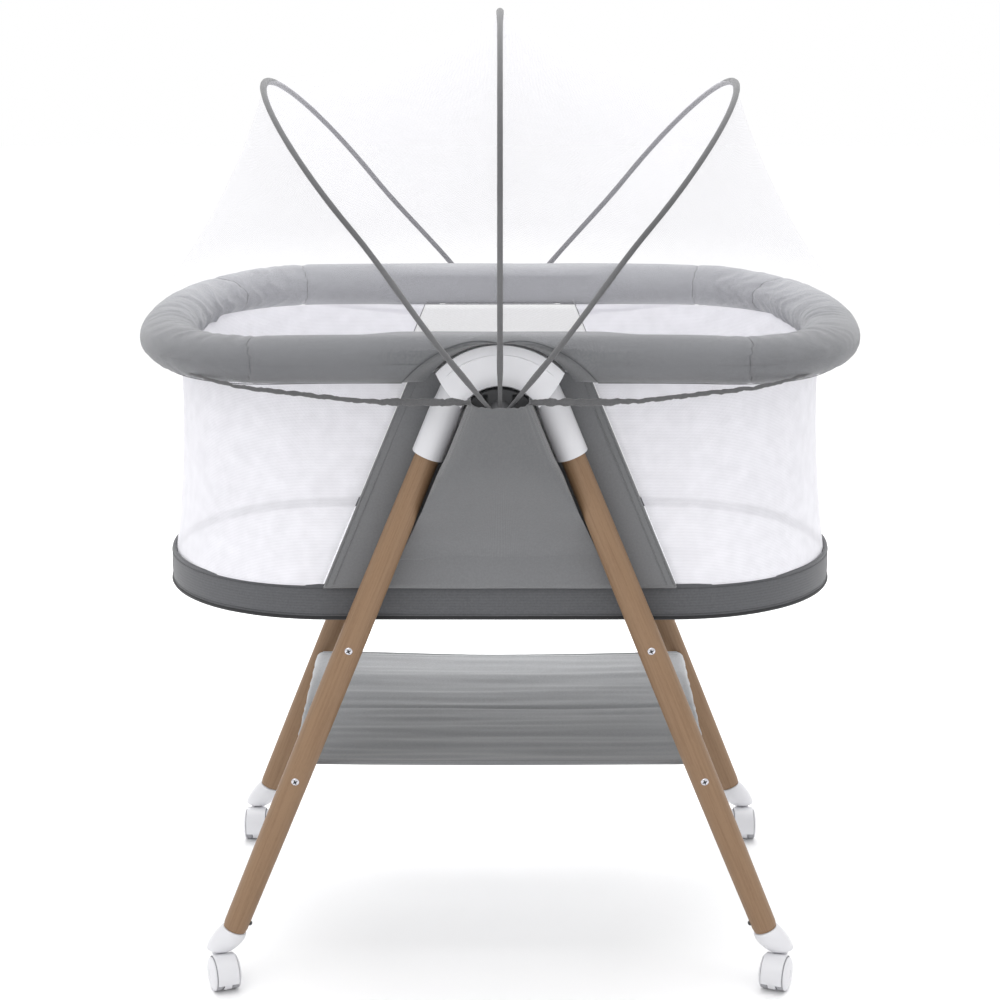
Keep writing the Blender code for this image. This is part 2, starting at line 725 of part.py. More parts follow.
def make_brake_lever(side, frame):
    """A foot tab on a front caster, pinned between two ears behind the neck."""
    name = f"brake_lever_{side}"
    across = at(0, LEVER_PIVOT_Y, LEVER_PIVOT_Z) @ about_y(math.pi / 2)
    lever = place(name, rod(name, 0.0026, -0.0022, 0.0022, 12), DARK_PLASTIC, across, frame)
    pin = rod(f"{name}_pin", 0.0012, -0.0043, 0.0043, 8)
    join(lever, tool(f"{name}_pin", pin, across, frame))
    tilt = at(0, LEVER_PIVOT_Y, LEVER_PIVOT_Z) @ Matrix.Rotation(math.radians(30.0), 4, "X")
    arm = block(f"{name}_arm", (-0.0022, 0.0, -0.0011), (0.0022, 0.0080, 0.0011))
    join(lever, tool(f"{name}_arm", arm, tilt, frame))
    tab = block(f"{name}_tab", (-0.0046, 0.0062, -0.0012), (0.0046, LEVER_REACH, 0.0012))
    join(lever, tool(f"{name}_tab", tab, tilt, frame))


# ---------------------------------------------------------------- rail
def rail_path(inset, below, steps):
    half_x = RAIL_HALF_X - inset
    half_y = RAIL_HALF_Y - inset
    points = oval(half_x, half_y, RAIL_STRAIGHT, RAIL_POWER, steps)
    return [(x, y, RAIL_HEIGHT - below - rail_drop(x)) for x, y in points]


def make_rail_pad():
    section = ellipse_section("pad_section", PAD_WIDTH / 2, PAD_HEIGHT / 2, 12)
    mesh = wire("rail_pad", rail_path(0.0, 0.0, 11), 0.0, cyclic=True, section=section)
    pad = place("rail_pad", mesh, RAIL_CLOTH)
    channel = ellipse_section("channel_section", TUBE_RADIUS + 0.001, TUBE_RADIUS + 0.001, 8)
    ring = wire("pad_channel", rail_path(TUBE_INSET, TUBE_BELOW, 11), 0.0, True, channel)
    cut(pad, tool("pad_channel", ring))
    half = RAIL_WIDTH
    notch = rod("pad_notch", HUB_OUTER + PAD_GAP, -half, half, 32)
    cut(pad, tool("pad_notch", notch, at(0, 0, HUB_HEIGHT) @ Matrix.Rotation(math.pi / 2, 4, "X")))


def make_rail_tube(side, sx):
    half_x = RAIL_HALF_X - TUBE_INSET
    path = half_oval(half_x, tube_plane(), RAIL_STRAIGHT, RAIL_POWER, 11, tube_end_x())
    points = [(sx * x, y, tube_height() - rail_drop(x)) for x, y in path]
    name = f"rail_tube_{side}"
    place(name, wire(name, points, TUBE_RADIUS), STEEL)


# ---------------------------------------------------------------- cot
def base_outline(inset, steps=9):
    return oval(
        BASE_LENGTH / 2 - inset, BASE_WIDTH / 2 - inset, BASE_STRAIGHT, BASE_POWER, steps
    )


def make_base():
    tray = place("base_band", slab("base_band", base_outline(0.0), BASE_BOTTOM, BASE_TOP), BAND_CLOTH)
    floor = BASE_BOTTOM + BAND_THICKNESS
    hollow = slab("base_hollow", base_outline(BAND_THICKNESS), floor, BASE_TOP + 0.02)
    cut(tray, tool("base_hollow", hollow))
    board_low = floor + FIT_GAP
    board_high = board_low + BOARD_THICKNESS
    inset = BAND_THICKNESS + 2 * TOUCH_GAP
    place("base_board", slab("base_board", base_outline(inset), board_low, board_high), BOARD)
    low = board_high + FIT_GAP
    high = low + MATTRESS_THICKNESS
    inset = BAND_THICKNESS + 4 * TOUCH_GAP
    mattress = place("mattress", slab("mattress", base_outline(inset), low, high), WHITE_CLOTH)
    edge = mattress.modifiers.new("soft edge", "BEVEL")
    edge.width = 0.004
    edge.segments = 2
    edge.limit_method = "ANGLE"
    edge.angle_limit = math.radians(60)


def panel_half(z):
    """Half the width of a side panel at height z."""
    share = (z - BASE_TOP) / (PANEL_TOP - BASE_TOP)
    return PANEL_FOOT_HALF + (PANEL_TOP_HALF - PANEL_FOOT_HALF) * share


def make_side_panel(end, sy):
    low = BASE_TOP + 0.001
    outline = [
        (-panel_half(low), low),
        (panel_half(low), low),
        (panel_half(PANEL_TOP), PANEL_TOP),
        (-panel_half(PANEL_TOP), PANEL_TOP),
    ]
    near = sy * PANEL_PLANE - PANEL_THICKNESS / 2
    name = f"side_panel_{end}"
    place(name, plate(name, outline, near, near + PANEL_THICKNESS), PANEL_CLOTH)


def make_mesh_wall(side, sx):
    """A curved wall between the two side panels, round one end of the cot."""
    levels = 4
    low = BASE_TOP + 0.001
    rows = []
    for i in range(levels + 1):
        share = i / levels
        z = low + (WALL_TOP - low) * share
        half_x = (WALL_FOOT_LENGTH + (WALL_TOP_LENGTH - WALL_FOOT_LENGTH) * share) / 2
        half_y = (WALL_FOOT_WIDTH + (WALL_TOP_WIDTH - WALL_FOOT_WIDTH) * share) / 2
        start = panel_half(z) + 0.0015
        path = half_oval(half_x, half_y, BASE_STRAIGHT + 0.03, BASE_POWER, 8, start)
        rows.append([(sx * x, y, z) for x, y in path])
    name = f"mesh_wall_{side}"
    wall = place(name, sheet_mesh(name, rows), MESH_CLOTH)
    thicken(wall, WALL_THICKNESS)


def sheet_mesh(name, rows):
    """An open sheet through rows of points."""
    bm = bmesh.new()
    grid = [[bm.verts.new(point) for point in row] for row in rows]
    for lower, upper in zip(grid, grid[1:]):
        for k in range(len(lower) - 1):
            bm.faces.new((lower[k], lower[k + 1], upper[k + 1], upper[k]))
    return mesh_of(name, bm)


def thicken(obj, thickness):
    solid = obj.modifiers.new("thickness", "SOLIDIFY")
    solid.thickness = thickness
    solid.offset = 0.0
    solid.use_even_offset = True


# ---------------------------------------------------------------- canopy
def hoop_outline(radius, half_width, steps):
    """The hoop in its own plane, as (distance from the pivot axis, y), from the front foot over to the rear.

    Each foot is cranked outwards to pass outside the rail.
    """
    rise = radius - HOOP_SHOULDER
    quarter = []
    for i in range(CRANK_STEPS + 1):
        share = i / CRANK_STEPS
        ease = share * share * (3 - 2 * share)
        r = CRANK_LOW + (CRANK_HIGH - CRANK_LOW) * share
        quarter.append((r, half_width + (HOOP_HALF_WIDTH - half_width) * ease))
    for i in range(steps + 1):
        turn = math.pi / 2 * i / steps
        r = HOOP_SHOULDER + rise * math.sin(turn) ** (2 / HOOP_POWER)
        y = HOOP_HALF_WIDTH * max(math.cos(turn), 0.0) ** (2 / HOOP_POWER)
        quarter.append((r, y))
    front = [(r, -y) for r, y in quarter]
    rear = [(r, y) for r, y in reversed(quarter[:-1])]
    return front + rear


def swung(r, y, angle):
    """A point of a hoop that stands at an angle from upright, towards +X."""
    return Vector((r * math.sin(angle), y, PIVOT_HEIGHT + r * math.cos(angle)))


HOOPS = (
    ("left", -HOOP_ANGLE, HOOP_RADIUS, 2),
    ("centre", 0.0, CENTRE_HOOP_RADIUS, 1),
    ("right", HOOP_ANGLE, HOOP_RADIUS, 0),
)


def hoop_half_width(place_on_pin):
    return BOSS_FACE + (place_on_pin + 0.5) * EYE_PITCH


def make_hoop(word, angle, radius, place_on_pin):
    half = hoop_half_width(place_on_pin)
    start = (PIN_RADIUS + EYE_RADIUS) / 2 + FIT_GAP
    outline = [(start, -half)] + hoop_outline(radius, half, 11) + [(start, half)]
    pivot = bpy.data.objects.new(f"hoop_axis_{word}", None)
    PARTS.objects.link(pivot)
    pivot.location = (0.0, 0.0, PIVOT_HEIGHT)
    pivot.rotation_euler = (0.0, angle, 0.0)
    name = f"hoop_{word}"
    mesh = wire(name, [(0.0, y, r) for r, y in outline], HOOP_WIRE)
    hoop = place(name, mesh, HOOP_CLOTH, None, pivot)
    turn = Matrix.Rotation(math.pi / 2, 4, "X")
    thick = EYE_THICKNESS / 2
    for end, sy in ENDS:
        eye = rod(f"{name}_eye_{end}", EYE_RADIUS, -thick, thick, ROUND_SIDES)
        join(hoop, tool(f"{name}_eye_{end}", eye, at(0, sy * half, 0) @ turn, pivot))
    for end, sy in ENDS:
        hole = rod(f"{name}_hole_{end}", PIN_RADIUS + FIT_GAP, -0.004, 0.004, 12)
        cut(hoop, tool(f"{name}_hole_{end}", hole, at(0, sy * half, 0) @ turn, pivot))


def hoop_edge(angle, radius, half, steps):
    """Points along a standing hoop above its cranks, from the front over to the rear."""
    outline = hoop_outline(radius, half, steps)
    return [swung(r, y, angle) for r, y in outline if r > CRANK_HIGH - TOUCH_GAP]


def rail_edge(sx, steps):
    """Points along the top of the rail, round one end, matching the hoop's points one to one."""
    path = half_oval(RAIL_HALF_X, RAIL_HALF_Y, RAIL_STRAIGHT, RAIL_POWER, steps, NET_START)
    top = RAIL_HEIGHT + PAD_HEIGHT / 2 + 0.002
    return [Vector((sx * x, y, top - rail_drop(x))) for x, y in path]


def make_net(name, first, second, margin_a, margin_b):
    """A taut panel between two edges that pulls in towards the middle of the canopy."""
    middle = Vector((0.0, 0.0, PIVOT_HEIGHT + 0.10))
    across = 5
    rows = []
    for i in range(across + 1):
        share = margin_a + (1 - margin_a - margin_b) * i / across
        row = []
        for a, b in zip(first, second):
            point = a.lerp(b, share)
            inward = (middle - point).normalized()
            row.append(point + inward * NET_SAG * math.sin(math.pi * share))
        rows.append(row)
    net = place(name, sheet_mesh(name, rows), NET_CLOTH)
    thicken(net, NET_THICKNESS)


def make_nets():
    steps = 7
    edges = {
        word: hoop_edge(angle, radius, hoop_half_width(1), steps)
        for word, angle, radius, _ in HOOPS
    }
    clear = 0.08
    make_net("net_left_middle", edges["left"], edges["centre"], clear, clear)
    make_net("net_right_middle", edges["centre"], edges["right"], clear, clear)
    make_net("net_left_end", rail_edge(-1, steps), edges["left"], 0.03, clear)
    make_net("net_right_end", rail_edge(1, steps), edges["right"], 0.03, clear)


# ---------------------------------------------------------------- build
def build():
    for side, sx in SIDES:
        for end, sy in ENDS:
            make_leg(side, sx, end, sy)
            make_screws(side, sx, end, sy)
            make_socket(side, sx, end, sy)
            frame = caster_frame(side, sx, end, sy)
            make_hood(side, end, frame)
            make_axle_and_wheels(side, end, frame)
            if end == "front":
                make_brake_lever(side, frame)
        make_stretchers(side, sx)
        make_rail_tube(side, sx)
        make_mesh_wall(side, sx)
    for end, sy in ENDS:
        make_hub(end, sy)
        make_pivot_bracket(end, sy)
        make_side_panel(end, sy)
    make_shelf()
    make_rail_pad()
    make_base()
    for hoop in HOOPS:
        make_hoop(*hoop)
    make_nets()


clear_scene()
PARTS = collection("bassinet")
TOOLS = collection("bassinet cutters")
BEECH = finish("beech", (0.36, 0.20, 0.11), 0.5)
WHITE_PLASTIC = finish("white plastic", (0.78, 0.78, 0.80), 0.4)
DARK_PLASTIC = finish("dark plastic", (0.10, 0.10, 0.11), 0.5)
STEEL = finish("coated steel", (0.35, 0.35, 0.36), 0.4, 1.0)
CHROME = finish("chrome", (0.75, 0.75, 0.77), 0.2, 1.0)
RAIL_CLOTH = finish("rail cloth", (0.23, 0.23, 0.25), 0.9)
PANEL_CLOTH = finish("panel cloth", (0.17, 0.18, 0.19), 0.9)
BAND_CLOTH = finish("band cloth", (0.13, 0.13, 0.14), 0.9)
SHELF_CLOTH = finish("shelf cloth", (0.25, 0.25, 0.27), 0.9)
WHITE_CLOTH = finish("white cloth", (0.85, 0.85, 0.87), 0.9)
MESH_CLOTH = finish("mesh cloth", (0.80, 0.80, 0.84), 0.9)
NET_CLOTH = finish("net cloth", (0.88, 0.88, 0.92), 0.9)
HOOP_CLOTH = finish("hoop sleeve", (0.20, 0.20, 0.21), 0.9)
BOARD = finish("fibre board", (0.42, 0.33, 0.22), 0.8)
build()
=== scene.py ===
"""Bassinet on a wheeled stand: the finished surfaces on the frame's solids.

Every piece is built as an operator, so the whole cot or one part of it can be made again from the sidebar.
"""

import math

import bmesh
import bpy
import numpy as np
from mathutils import Matrix, Vector, noise


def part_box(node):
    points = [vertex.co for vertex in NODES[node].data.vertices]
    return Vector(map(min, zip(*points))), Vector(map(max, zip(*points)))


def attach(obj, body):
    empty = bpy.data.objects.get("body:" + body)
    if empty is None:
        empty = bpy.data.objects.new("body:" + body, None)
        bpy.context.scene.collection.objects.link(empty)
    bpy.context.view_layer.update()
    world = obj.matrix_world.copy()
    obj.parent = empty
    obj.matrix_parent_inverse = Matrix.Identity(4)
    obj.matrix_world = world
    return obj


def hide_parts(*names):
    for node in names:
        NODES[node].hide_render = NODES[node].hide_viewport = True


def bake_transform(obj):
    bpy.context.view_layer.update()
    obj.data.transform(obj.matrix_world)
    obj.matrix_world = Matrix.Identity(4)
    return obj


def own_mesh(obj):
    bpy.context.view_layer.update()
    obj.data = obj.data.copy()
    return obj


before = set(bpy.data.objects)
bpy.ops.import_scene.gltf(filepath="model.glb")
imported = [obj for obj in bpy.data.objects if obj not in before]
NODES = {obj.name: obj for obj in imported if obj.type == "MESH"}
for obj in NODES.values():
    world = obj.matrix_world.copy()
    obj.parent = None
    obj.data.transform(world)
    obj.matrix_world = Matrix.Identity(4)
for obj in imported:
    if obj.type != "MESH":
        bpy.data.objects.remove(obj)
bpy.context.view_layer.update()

bl_info = {
    "name": "Bassinet on stand",
    "version": (1, 0, 0),
    "blender": (4, 5, 0),
    "location": "View3D > Sidebar > Bassinet",
    "description": "Oval bassinet with a net canopy on a turned wooden stand",
    "category": "Add Mesh",
}

SIDES = (("left", -1), ("right", 1))
ENDS = (("front", -1), ("rear", 1))


# ---------------------------------------------------------------- settings
def length(name, default, description):
    return bpy.props.FloatProperty(
        name=name, default=default, description=description, unit="LENGTH", precision=4
    )


def turn(name, degrees, description):
    return bpy.props.FloatProperty(
        name=name, default=math.radians(degrees), description=description, unit="ROTATION"
    )


def paint(name, default, description):
    return bpy.props.FloatVectorProperty(
        name=name, default=default, description=description, subtype="COLOR", size=3, min=0, max=1
    )


class BassinetSizes(bpy.types.PropertyGroup):
    """Sizes that the soft and turned pieces share"""

    rail_half_x: length("Rail half length", 0.386, "Middle of the padded rail, along the cot")
    rail_half_y: length("Rail half width", 0.250, "Middle of the padded rail, across the cot")
    rail_z: length("Rail height", 0.744, "Middle of the padded rail above the floor")
    rail_straight: length("Rail straight", 0.478, "Straight part of each long side of the rail")
    pad_half_width: length("Pad half width", 0.034, "Half the width of the padding")
    pad_half_height: length("Pad half height", 0.026, "Half the height of the padding")
    hub_z: length("Hub height", 0.663, "Centre of the hub arch above the floor")
    hub_outer: length("Hub outer radius", 0.0966, "Outer radius of the hub arch")
    hub_inner: length("Hub inner radius", 0.0473, "Inner radius of the hub arch")
    hub_depth: length("Hub depth", 0.036, "Thickness of the hub arch across the cot")
    leg_plane: length("Leg plane", 0.228, "Distance of the legs from the middle of the cot")
    leg_top_x: length("Leg top", 0.0797, "Leg axis at the sleeve's mouth, from the middle")
    leg_top_z: length("Leg top height", 0.6308, "Height of the sleeve's mouth")
    leg_foot_x: length("Leg foot", 0.3079, "Leg axis at its foot, from the middle")
    leg_foot_z: length("Leg foot height", 0.0675, "Height of the leg's foot")
    leg_top_radius: length("Leg top radius", 0.0139, "Radius of the leg at the sleeve")
    leg_foot_radius: length("Leg foot radius", 0.0142, "Radius of the leg at the socket")
    leg_belly: length("Leg belly", 0.0017, "How much the turned leg swells in the middle")
    sleeve_radius: length("Sleeve radius", 0.0185, "Radius of the sleeve that holds the leg")
    upper_rod_z: length("Upper rod height", 0.4094, "Height of the upper cross rods")
    lower_rod_z: length("Lower rod height", 0.2538, "Height of the lower cross rods")
    pivot_z: length("Hoop pivot height", 0.685, "Height of the hoops' axis")
    hoop_angle: turn("Outer hoop angle", 39.0, "Lean of the two outer hoops from upright")
    hoop_wire: length("Hoop radius", 0.0032, "Radius of a hoop in its cloth sleeve")
    swivel_x: length("Swivel", 0.326, "Distance of the caster's swivel from the middle")
    caster_yaw: turn("Front caster turn", 22.0, "How far the front casters stand turned out")
    caster_trail: length("Caster trail", 0.018, "Distance from the swivel to the axle")
    wheel_radius: length("Wheel radius", 0.020, "Radius of a caster wheel")


class BassinetColours(bpy.types.PropertyGroup):
    """Colours of the cloths, woods and plastics"""

    wood: paint("Wood", (0.240, 0.148, 0.083), "Stained beech of the legs")
    wood_grain: paint("Wood grain", (0.180, 0.102, 0.053), "Darker grain lines in the legs")
    plastic: paint("Plastic", (0.665, 0.665, 0.69), "White moulded plastic")
    rail: paint("Rail cloth", (0.163, 0.167, 0.175), "Woven cover of the rail")
    panel: paint("Panel cloth", (0.180, 0.183, 0.190), "Side panels under the hubs")
    band: paint("Band cloth", (0.100, 0.102, 0.109), "Band round the foot of the cot")
    shelf: paint("Shelf cloth", (0.235, 0.240, 0.248), "Storage shelf")
    hoop: paint("Hoop cloth", (0.118, 0.118, 0.122), "Sleeves of the canopy hoops")
    net: paint("Net", (0.70, 0.69, 0.75), "Fine canopy net")
    wall: paint("Mesh wall", (0.74, 0.735, 0.775), "Open mesh of the cot's walls")
    lining: paint("Lining", (0.80, 0.80, 0.79), "Pale lining and mattress cover")
    dark: paint("Dark plastic", (0.035, 0.035, 0.038), "Dark moulded plastic")
    tread: paint("Tread", (0.32, 0.32, 0.34), "Tread of the caster wheels")
    steel: paint("Steel", (0.30, 0.30, 0.31), "Coated steel rods")


def sizes():
    return bpy.context.scene.bassinet_sizes


def colours():
    return bpy.context.scene.bassinet_colours


# ---------------------------------------------------------------- materials
def fresh_material(name):
    """A new material, or the one already made with this name."""
    found = bpy.data.materials.get(name)
    if found is not None and found.get("ready"):
        return found, None, None, None
    material = bpy.data.materials.new(name)
    material.use_nodes = True
    material["ready"] = True
    nodes = material.node_tree.nodes
    return material, nodes, material.node_tree.links, nodes["Principled BSDF"]


def math_node(nodes, links, operation, first, second):
    node = nodes.new("ShaderNodeMath")
    node.operation = operation
    for socket, value in zip(node.inputs, (first, second)):
        if isinstance(value, (int, float)):
            socket.default_value = value
        else:
            links.new(value, socket)
    return node.outputs[0]


def noise_node(nodes, links, vector, scale, detail=2.0, roughness=0.5):
    node = nodes.new("ShaderNodeTexNoise")
    node.inputs["Scale"].default_value = scale
    node.inputs["Detail"].default_value = detail
    node.inputs["Roughness"].default_value = roughness
    links.new(vector, node.inputs["Vector"])
    return node.outputs["Fac"]


def tone_ramp(nodes, links, factor, dark, light, low=0.3, high=0.7):
    ramp = nodes.new("ShaderNodeValToRGB")
    ramp.color_ramp.elements[0].position = low
    ramp.color_ramp.elements[0].color = (*dark, 1.0)
    ramp.color_ramp.elements[1].position = high
    ramp.color_ramp.elements[1].color = (*light, 1.0)
    links.new(factor, ramp.inputs["Fac"])
    return ramp.outputs["Color"]


def shade(colour, factor):
    return tuple(min(c * factor, 1.0) for c in colour)


def weighted(nodes, links, *parts):
    """The sum of (output, weight) pairs."""
    total = None
    for output, weight in parts:
        part = math_node(nodes, links, "MULTIPLY", output, weight)
        total = part if total is None else math_node(nodes, links, "ADD", total, part)
    return total


def stretched_noise(nodes, links, vector, scale, detail, roughness):
    stretch = nodes.new("ShaderNodeMapping")
    stretch.inputs["Scale"].default_value = scale
    links.new(vector, stretch.inputs["Vector"])
    return noise_node(nodes, links, stretch.outputs["Vector"], 1.0, detail, roughness)


def map_range(nodes, links, value, to_range, from_range=(0.0, 1.0), kind="LINEAR"):
    node = nodes.new("ShaderNodeMapRange")
    node.interpolation_type = kind
    node.inputs["From Min"].default_value, node.inputs["From Max"].default_value = from_range
    node.inputs["To Min"].default_value, node.inputs["To Max"].default_value = to_range
    links.new(value, node.inputs["Value"])
    return node.outputs["Result"]


def scale_tone(nodes, links, tone, factor):
    node = nodes.new("ShaderNodeVectorMath")
    node.operation = "SCALE"
    links.new(tone, node.inputs[0])
    links.new(factor, node.inputs["Scale"])
    return node.outputs["Vector"]


def attribute_value(nodes, name):
    node = nodes.new("ShaderNodeAttribute")
    node.attribute_name = name
    return node.outputs["Fac"]


def add_bump(nodes, links, shader, height, strength, distance):
    bump = nodes.new("ShaderNodeBump")
    bump.inputs["Strength"].default_value = strength
    bump.inputs["Distance"].default_value = distance
    links.new(height, bump.inputs["Height"])
    links.new(bump.outputs["Normal"], shader.inputs["Normal"])


def threads(nodes, links, vector, pitch):
    """Height of a plain weave: warp and weft bands that cross at one pitch."""
    made = []
    for direction in ("X", "Y"):
        wave = nodes.new("ShaderNodeTexWave")
        wave.bands_direction = direction
        wave.inputs["Scale"].default_value = 0.314 / pitch
        wave.inputs["Distortion"].default_value = 0.6
        wave.inputs["Detail"].default_value = 1.0
        wave.inputs["Detail Scale"].default_value = 0.6
        links.new(vector, wave.inputs["Vector"])
        made.append(wave.outputs["Fac"])
    return math_node(nodes, links, "MULTIPLY", made[0], made[1])


def woven(name, colour, pitch=0.0012, fleck=0.16, roughness=0.88, sheen=0.25, painted_light_fade=None, painted_shade_toned=False):
    """Plain-woven cloth with flecked yarn, on the piece's own UV map in metres.

    Two tone factors may be given, at the front and at the rear of the cot: painted light and shade, scaling the colour
    across the cot from front to rear. A cloth may also take a factor of its own at each point, as painted shade.
    """
    material, nodes, links, shader = fresh_material(name)
    if nodes is None:
        return material
    coordinates = nodes.new("ShaderNodeTexCoord")
    weave = threads(nodes, links, coordinates.outputs["UV"], pitch)
    grain = noise_node(nodes, links, coordinates.outputs["Object"], 420.0, 3.0, 0.65)
    cloud = noise_node(nodes, links, coordinates.outputs["Object"], 9.0, 2.0)
    mixed = weighted(nodes, links, (grain, 0.7), (weave, 0.25), (cloud, 0.18))
    tone = tone_ramp(nodes, links, mixed, shade(colour, 1 - fleck), shade(colour, 1 + fleck), 0.32, 0.78)
    # Painted light and shade: the colour is scaled from the front factor to the rear factor across the cot.
    if painted_light_fade:
        split = nodes.new("ShaderNodeSeparateXYZ")
        links.new(coordinates.outputs["Object"], split.inputs[0])
        along = map_range(nodes, links, split.outputs["Y"], painted_light_fade, (-0.25, 0.20), "SMOOTHSTEP")
        tone = scale_tone(nodes, links, tone, along)
    # Painted shade: the colour is scaled by the point's own tone attribute.
    if painted_shade_toned:
        tone = scale_tone(nodes, links, tone, attribute_value(nodes, "tone"))
    links.new(tone, shader.inputs["Base Color"])
    shader.inputs["Roughness"].default_value = roughness
    shader.inputs["Sheen Weight"].default_value = sheen
    shader.inputs["Sheen Roughness"].default_value = 0.5
    shader.inputs["Specular IOR Level"].default_value = 0.2
    height = weighted(nodes, links, (weave, 1.0), (grain, 0.6))
    add_bump(nodes, links, shader, height, 0.35, 0.0003)
    return material


def netting(name, colour, clear, cell, roughness=0.8, veiled=False):
    """Open net: threads round small cells, with the rest let through. A veiled net thins by its own attribute."""
    material, nodes, links, shader = fresh_material(name)
    if nodes is None:
        return material
    coordinates = nodes.new("ShaderNodeTexCoord")
    cells = nodes.new("ShaderNodeTexVoronoi")
    cells.feature = "DISTANCE_TO_EDGE"
    cells.inputs["Scale"].default_value = 1.0 / cell
    cells.inputs["Randomness"].default_value = 0.25
    links.new(coordinates.outputs["UV"], cells.inputs["Vector"])
    solid = ((1 - clear) * (1 + clear), (1 - clear) * (1 - 0.6 * clear))
    cover = map_range(nodes, links, cells.outputs["Distance"], solid, (0.06, 0.26))
    if veiled:
        cover = math_node(nodes, links, "MULTIPLY", cover, attribute_value(nodes, "veil"))
    links.new(cover, shader.inputs["Alpha"])
    fibre = noise_node(nodes, links, coordinates.outputs["Object"], 60.0, 2.0)
    tone = tone_ramp(nodes, links, fibre, shade(colour, 0.96), shade(colour, 1.05))
    links.new(tone, shader.inputs["Base Color"])
    shader.inputs["Roughness"].default_value = roughness
    shader.inputs["Specular IOR Level"].default_value = 0.2
    shader.inputs["Sheen Weight"].default_value = 0.2
    return material


def stained_wood(name, colour, grain_colour):
    """Stained beech, its grain running along the leg on the piece's own UV map in metres."""
    material, nodes, links, shader = fresh_material(name)
    if nodes is None:
        return material
    coordinates = nodes.new("ShaderNodeTexCoord")
    lines = stretched_noise(nodes, links, coordinates.outputs["UV"], (420.0, 9.0, 1.0), 4.0, 0.6)
    pores = stretched_noise(nodes, links, coordinates.outputs["UV"], (1500.0, 160.0, 1.0), 2.0, 0.5)
    tone = weighted(nodes, links, (lines, 0.75), (pores, 0.3))
    links.new(tone_ramp(nodes, links, tone, grain_colour, colour, 0.28, 0.58), shader.inputs["Base Color"])
    links.new(map_range(nodes, links, pores, (0.42, 0.60)), shader.inputs["Roughness"])
    shader.inputs["Specular IOR Level"].default_value = 0.4
    add_bump(nodes, links, shader, tone, 0.25, 0.0002)
    return material


def moulded(name, colour, roughness=0.38, texture=0.12, metallic=0.0, coat=0.0):
    """Moulded plastic or coated metal with a faint surface texture."""
    material, nodes, links, shader = fresh_material(name)
    if nodes is None:
        return material
    coordinates = nodes.new("ShaderNodeTexCoord")
    fine = noise_node(nodes, links, coordinates.outputs["Object"], 900.0, 2.0)
    broad = noise_node(nodes, links, coordinates.outputs["Object"], 25.0, 2.0)
    links.new(tone_ramp(nodes, links, broad, shade(colour, 0.97), colour), shader.inputs["Base Color"])
    spread = map_range(nodes, links, broad, (roughness * 0.9, roughness * 1.15))
    links.new(spread, shader.inputs["Roughness"])
    shader.inputs["Metallic"].default_value = metallic
    shader.inputs["Coat Weight"].default_value = coat
    add_bump(nodes, links, shader, fine, texture, 0.0001)
    return material


def wood_finish():
    return stained_wood("stained beech", colours().wood, colours().wood_grain)


def white_plastic():
    return moulded("white moulded plastic", colours().plastic, 0.34, 0.06)


def dark_plastic():
    return moulded("dark moulded plastic", colours().dark, 0.5, 0.15)


def rail_cloth():
    # The rail cover is painted darker at the front of the cot and lighter at the rear: painted light and shade.
    return woven("rail cloth", colours().rail, 0.0011, 0.17, painted_light_fade=(0.88, 1.50))


def thread_finish():
    return woven("sewing thread", shade(colours().rail, 0.45), 0.0006, 0.1)


def hoop_cloth():
    return woven("hoop sleeve cloth", colours().hoop, 0.0008, 0.14)


def piping_cloth():
    return woven("piping cloth", shade(colours().band, 0.28), 0.0007, 0.1)


def lining_cloth():
    return woven("pale lining", colours().lining, 0.0010, 0.05)


# ---------------------------------------------------------------- mesh helpers
def piece(name, bm, material, ride=None, normals=True, angle=35.0):
    """Makes the bmesh an object at the origin, shaded smooth, on its body."""
    if normals:
        bmesh.ops.recalc_face_normals(bm, faces=bm.faces)
    mesh = bpy.data.meshes.new(name)
    bm.to_mesh(mesh)
    bm.free()
    mesh.shade_smooth()
    mesh.set_sharp_from_angle(angle=math.radians(angle))
    obj = bpy.data.objects.new(name, mesh)
    bpy.context.scene.collection.objects.link(obj)
    mesh.materials.append(material)
    if ride:
        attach(obj, ride)
    return obj


def draped_grid(columns, rows, place, width=1.0, height=1.0):
    """A grid laid out by place(u, v), with its UV map in metres."""
    bm = bmesh.new()
    layer = bm.loops.layers.uv.new("UVMap")
    bmesh.ops.create_grid(bm, x_segments=columns, y_segments=rows, size=0.5)
    flat = {v: (v.co.x + 0.5, v.co.y + 0.5) for v in bm.verts}
    for face in bm.faces:
        for loop in face.loops:
            u, v = flat[loop.vert]
            loop[layer].uv = (u * width, v * height)
    for vert, (u, v) in flat.items():
        vert.co = place(u, v)
    return bm


def lathe(profile, steps=48, matrix=None, sweep=math.tau):
    """A profile of (radius, height) spun about Z, then moved by matrix. It may start and end on the axis."""
    bm = bmesh.new()
    verts = [bm.verts.new((radius, 0.0, height)) for radius, height in profile]
    edges = [bm.edges.new(pair) for pair in zip(verts, verts[1:])]
    full = sweep > 6.28
    bmesh.ops.spin(
        bm,
        geom=verts + edges,
        cent=(0, 0, 0),
        axis=(0, 0, 1),
        angle=sweep,
        steps=steps,
        use_merge=full,
    )
    weld(bm)
    if matrix is not None:
        bmesh.ops.transform(bm, matrix=matrix, verts=bm.verts)
    return bm


def add_into(bm, other):
    """Copies another bmesh into this one."""
    mesh = bpy.data.meshes.new("part")
    bmesh.ops.recalc_face_normals(other, faces=other.faces)
    other.to_mesh(mesh)
    other.free()
    bm.from_mesh(mesh)
    bpy.data.meshes.remove(mesh)
    return bm


def joined(parts):
    """One bmesh out of several."""
    for part in parts[1:]:
        add_into(parts[0], part)
    return parts[0]


def weld(bm, reach=0.00001):
    bmesh.ops.remove_doubles(bm, verts=bm.verts, dist=reach)


def close_holes(bm):
    bmesh.ops.holes_fill(bm, edges=[e for e in bm.edges if e.is_boundary], sides=0)


def clamp(value):
    return min(1.0, max(0.0, value))


def smooth(share):
    return share * share * (3 - 2 * share)


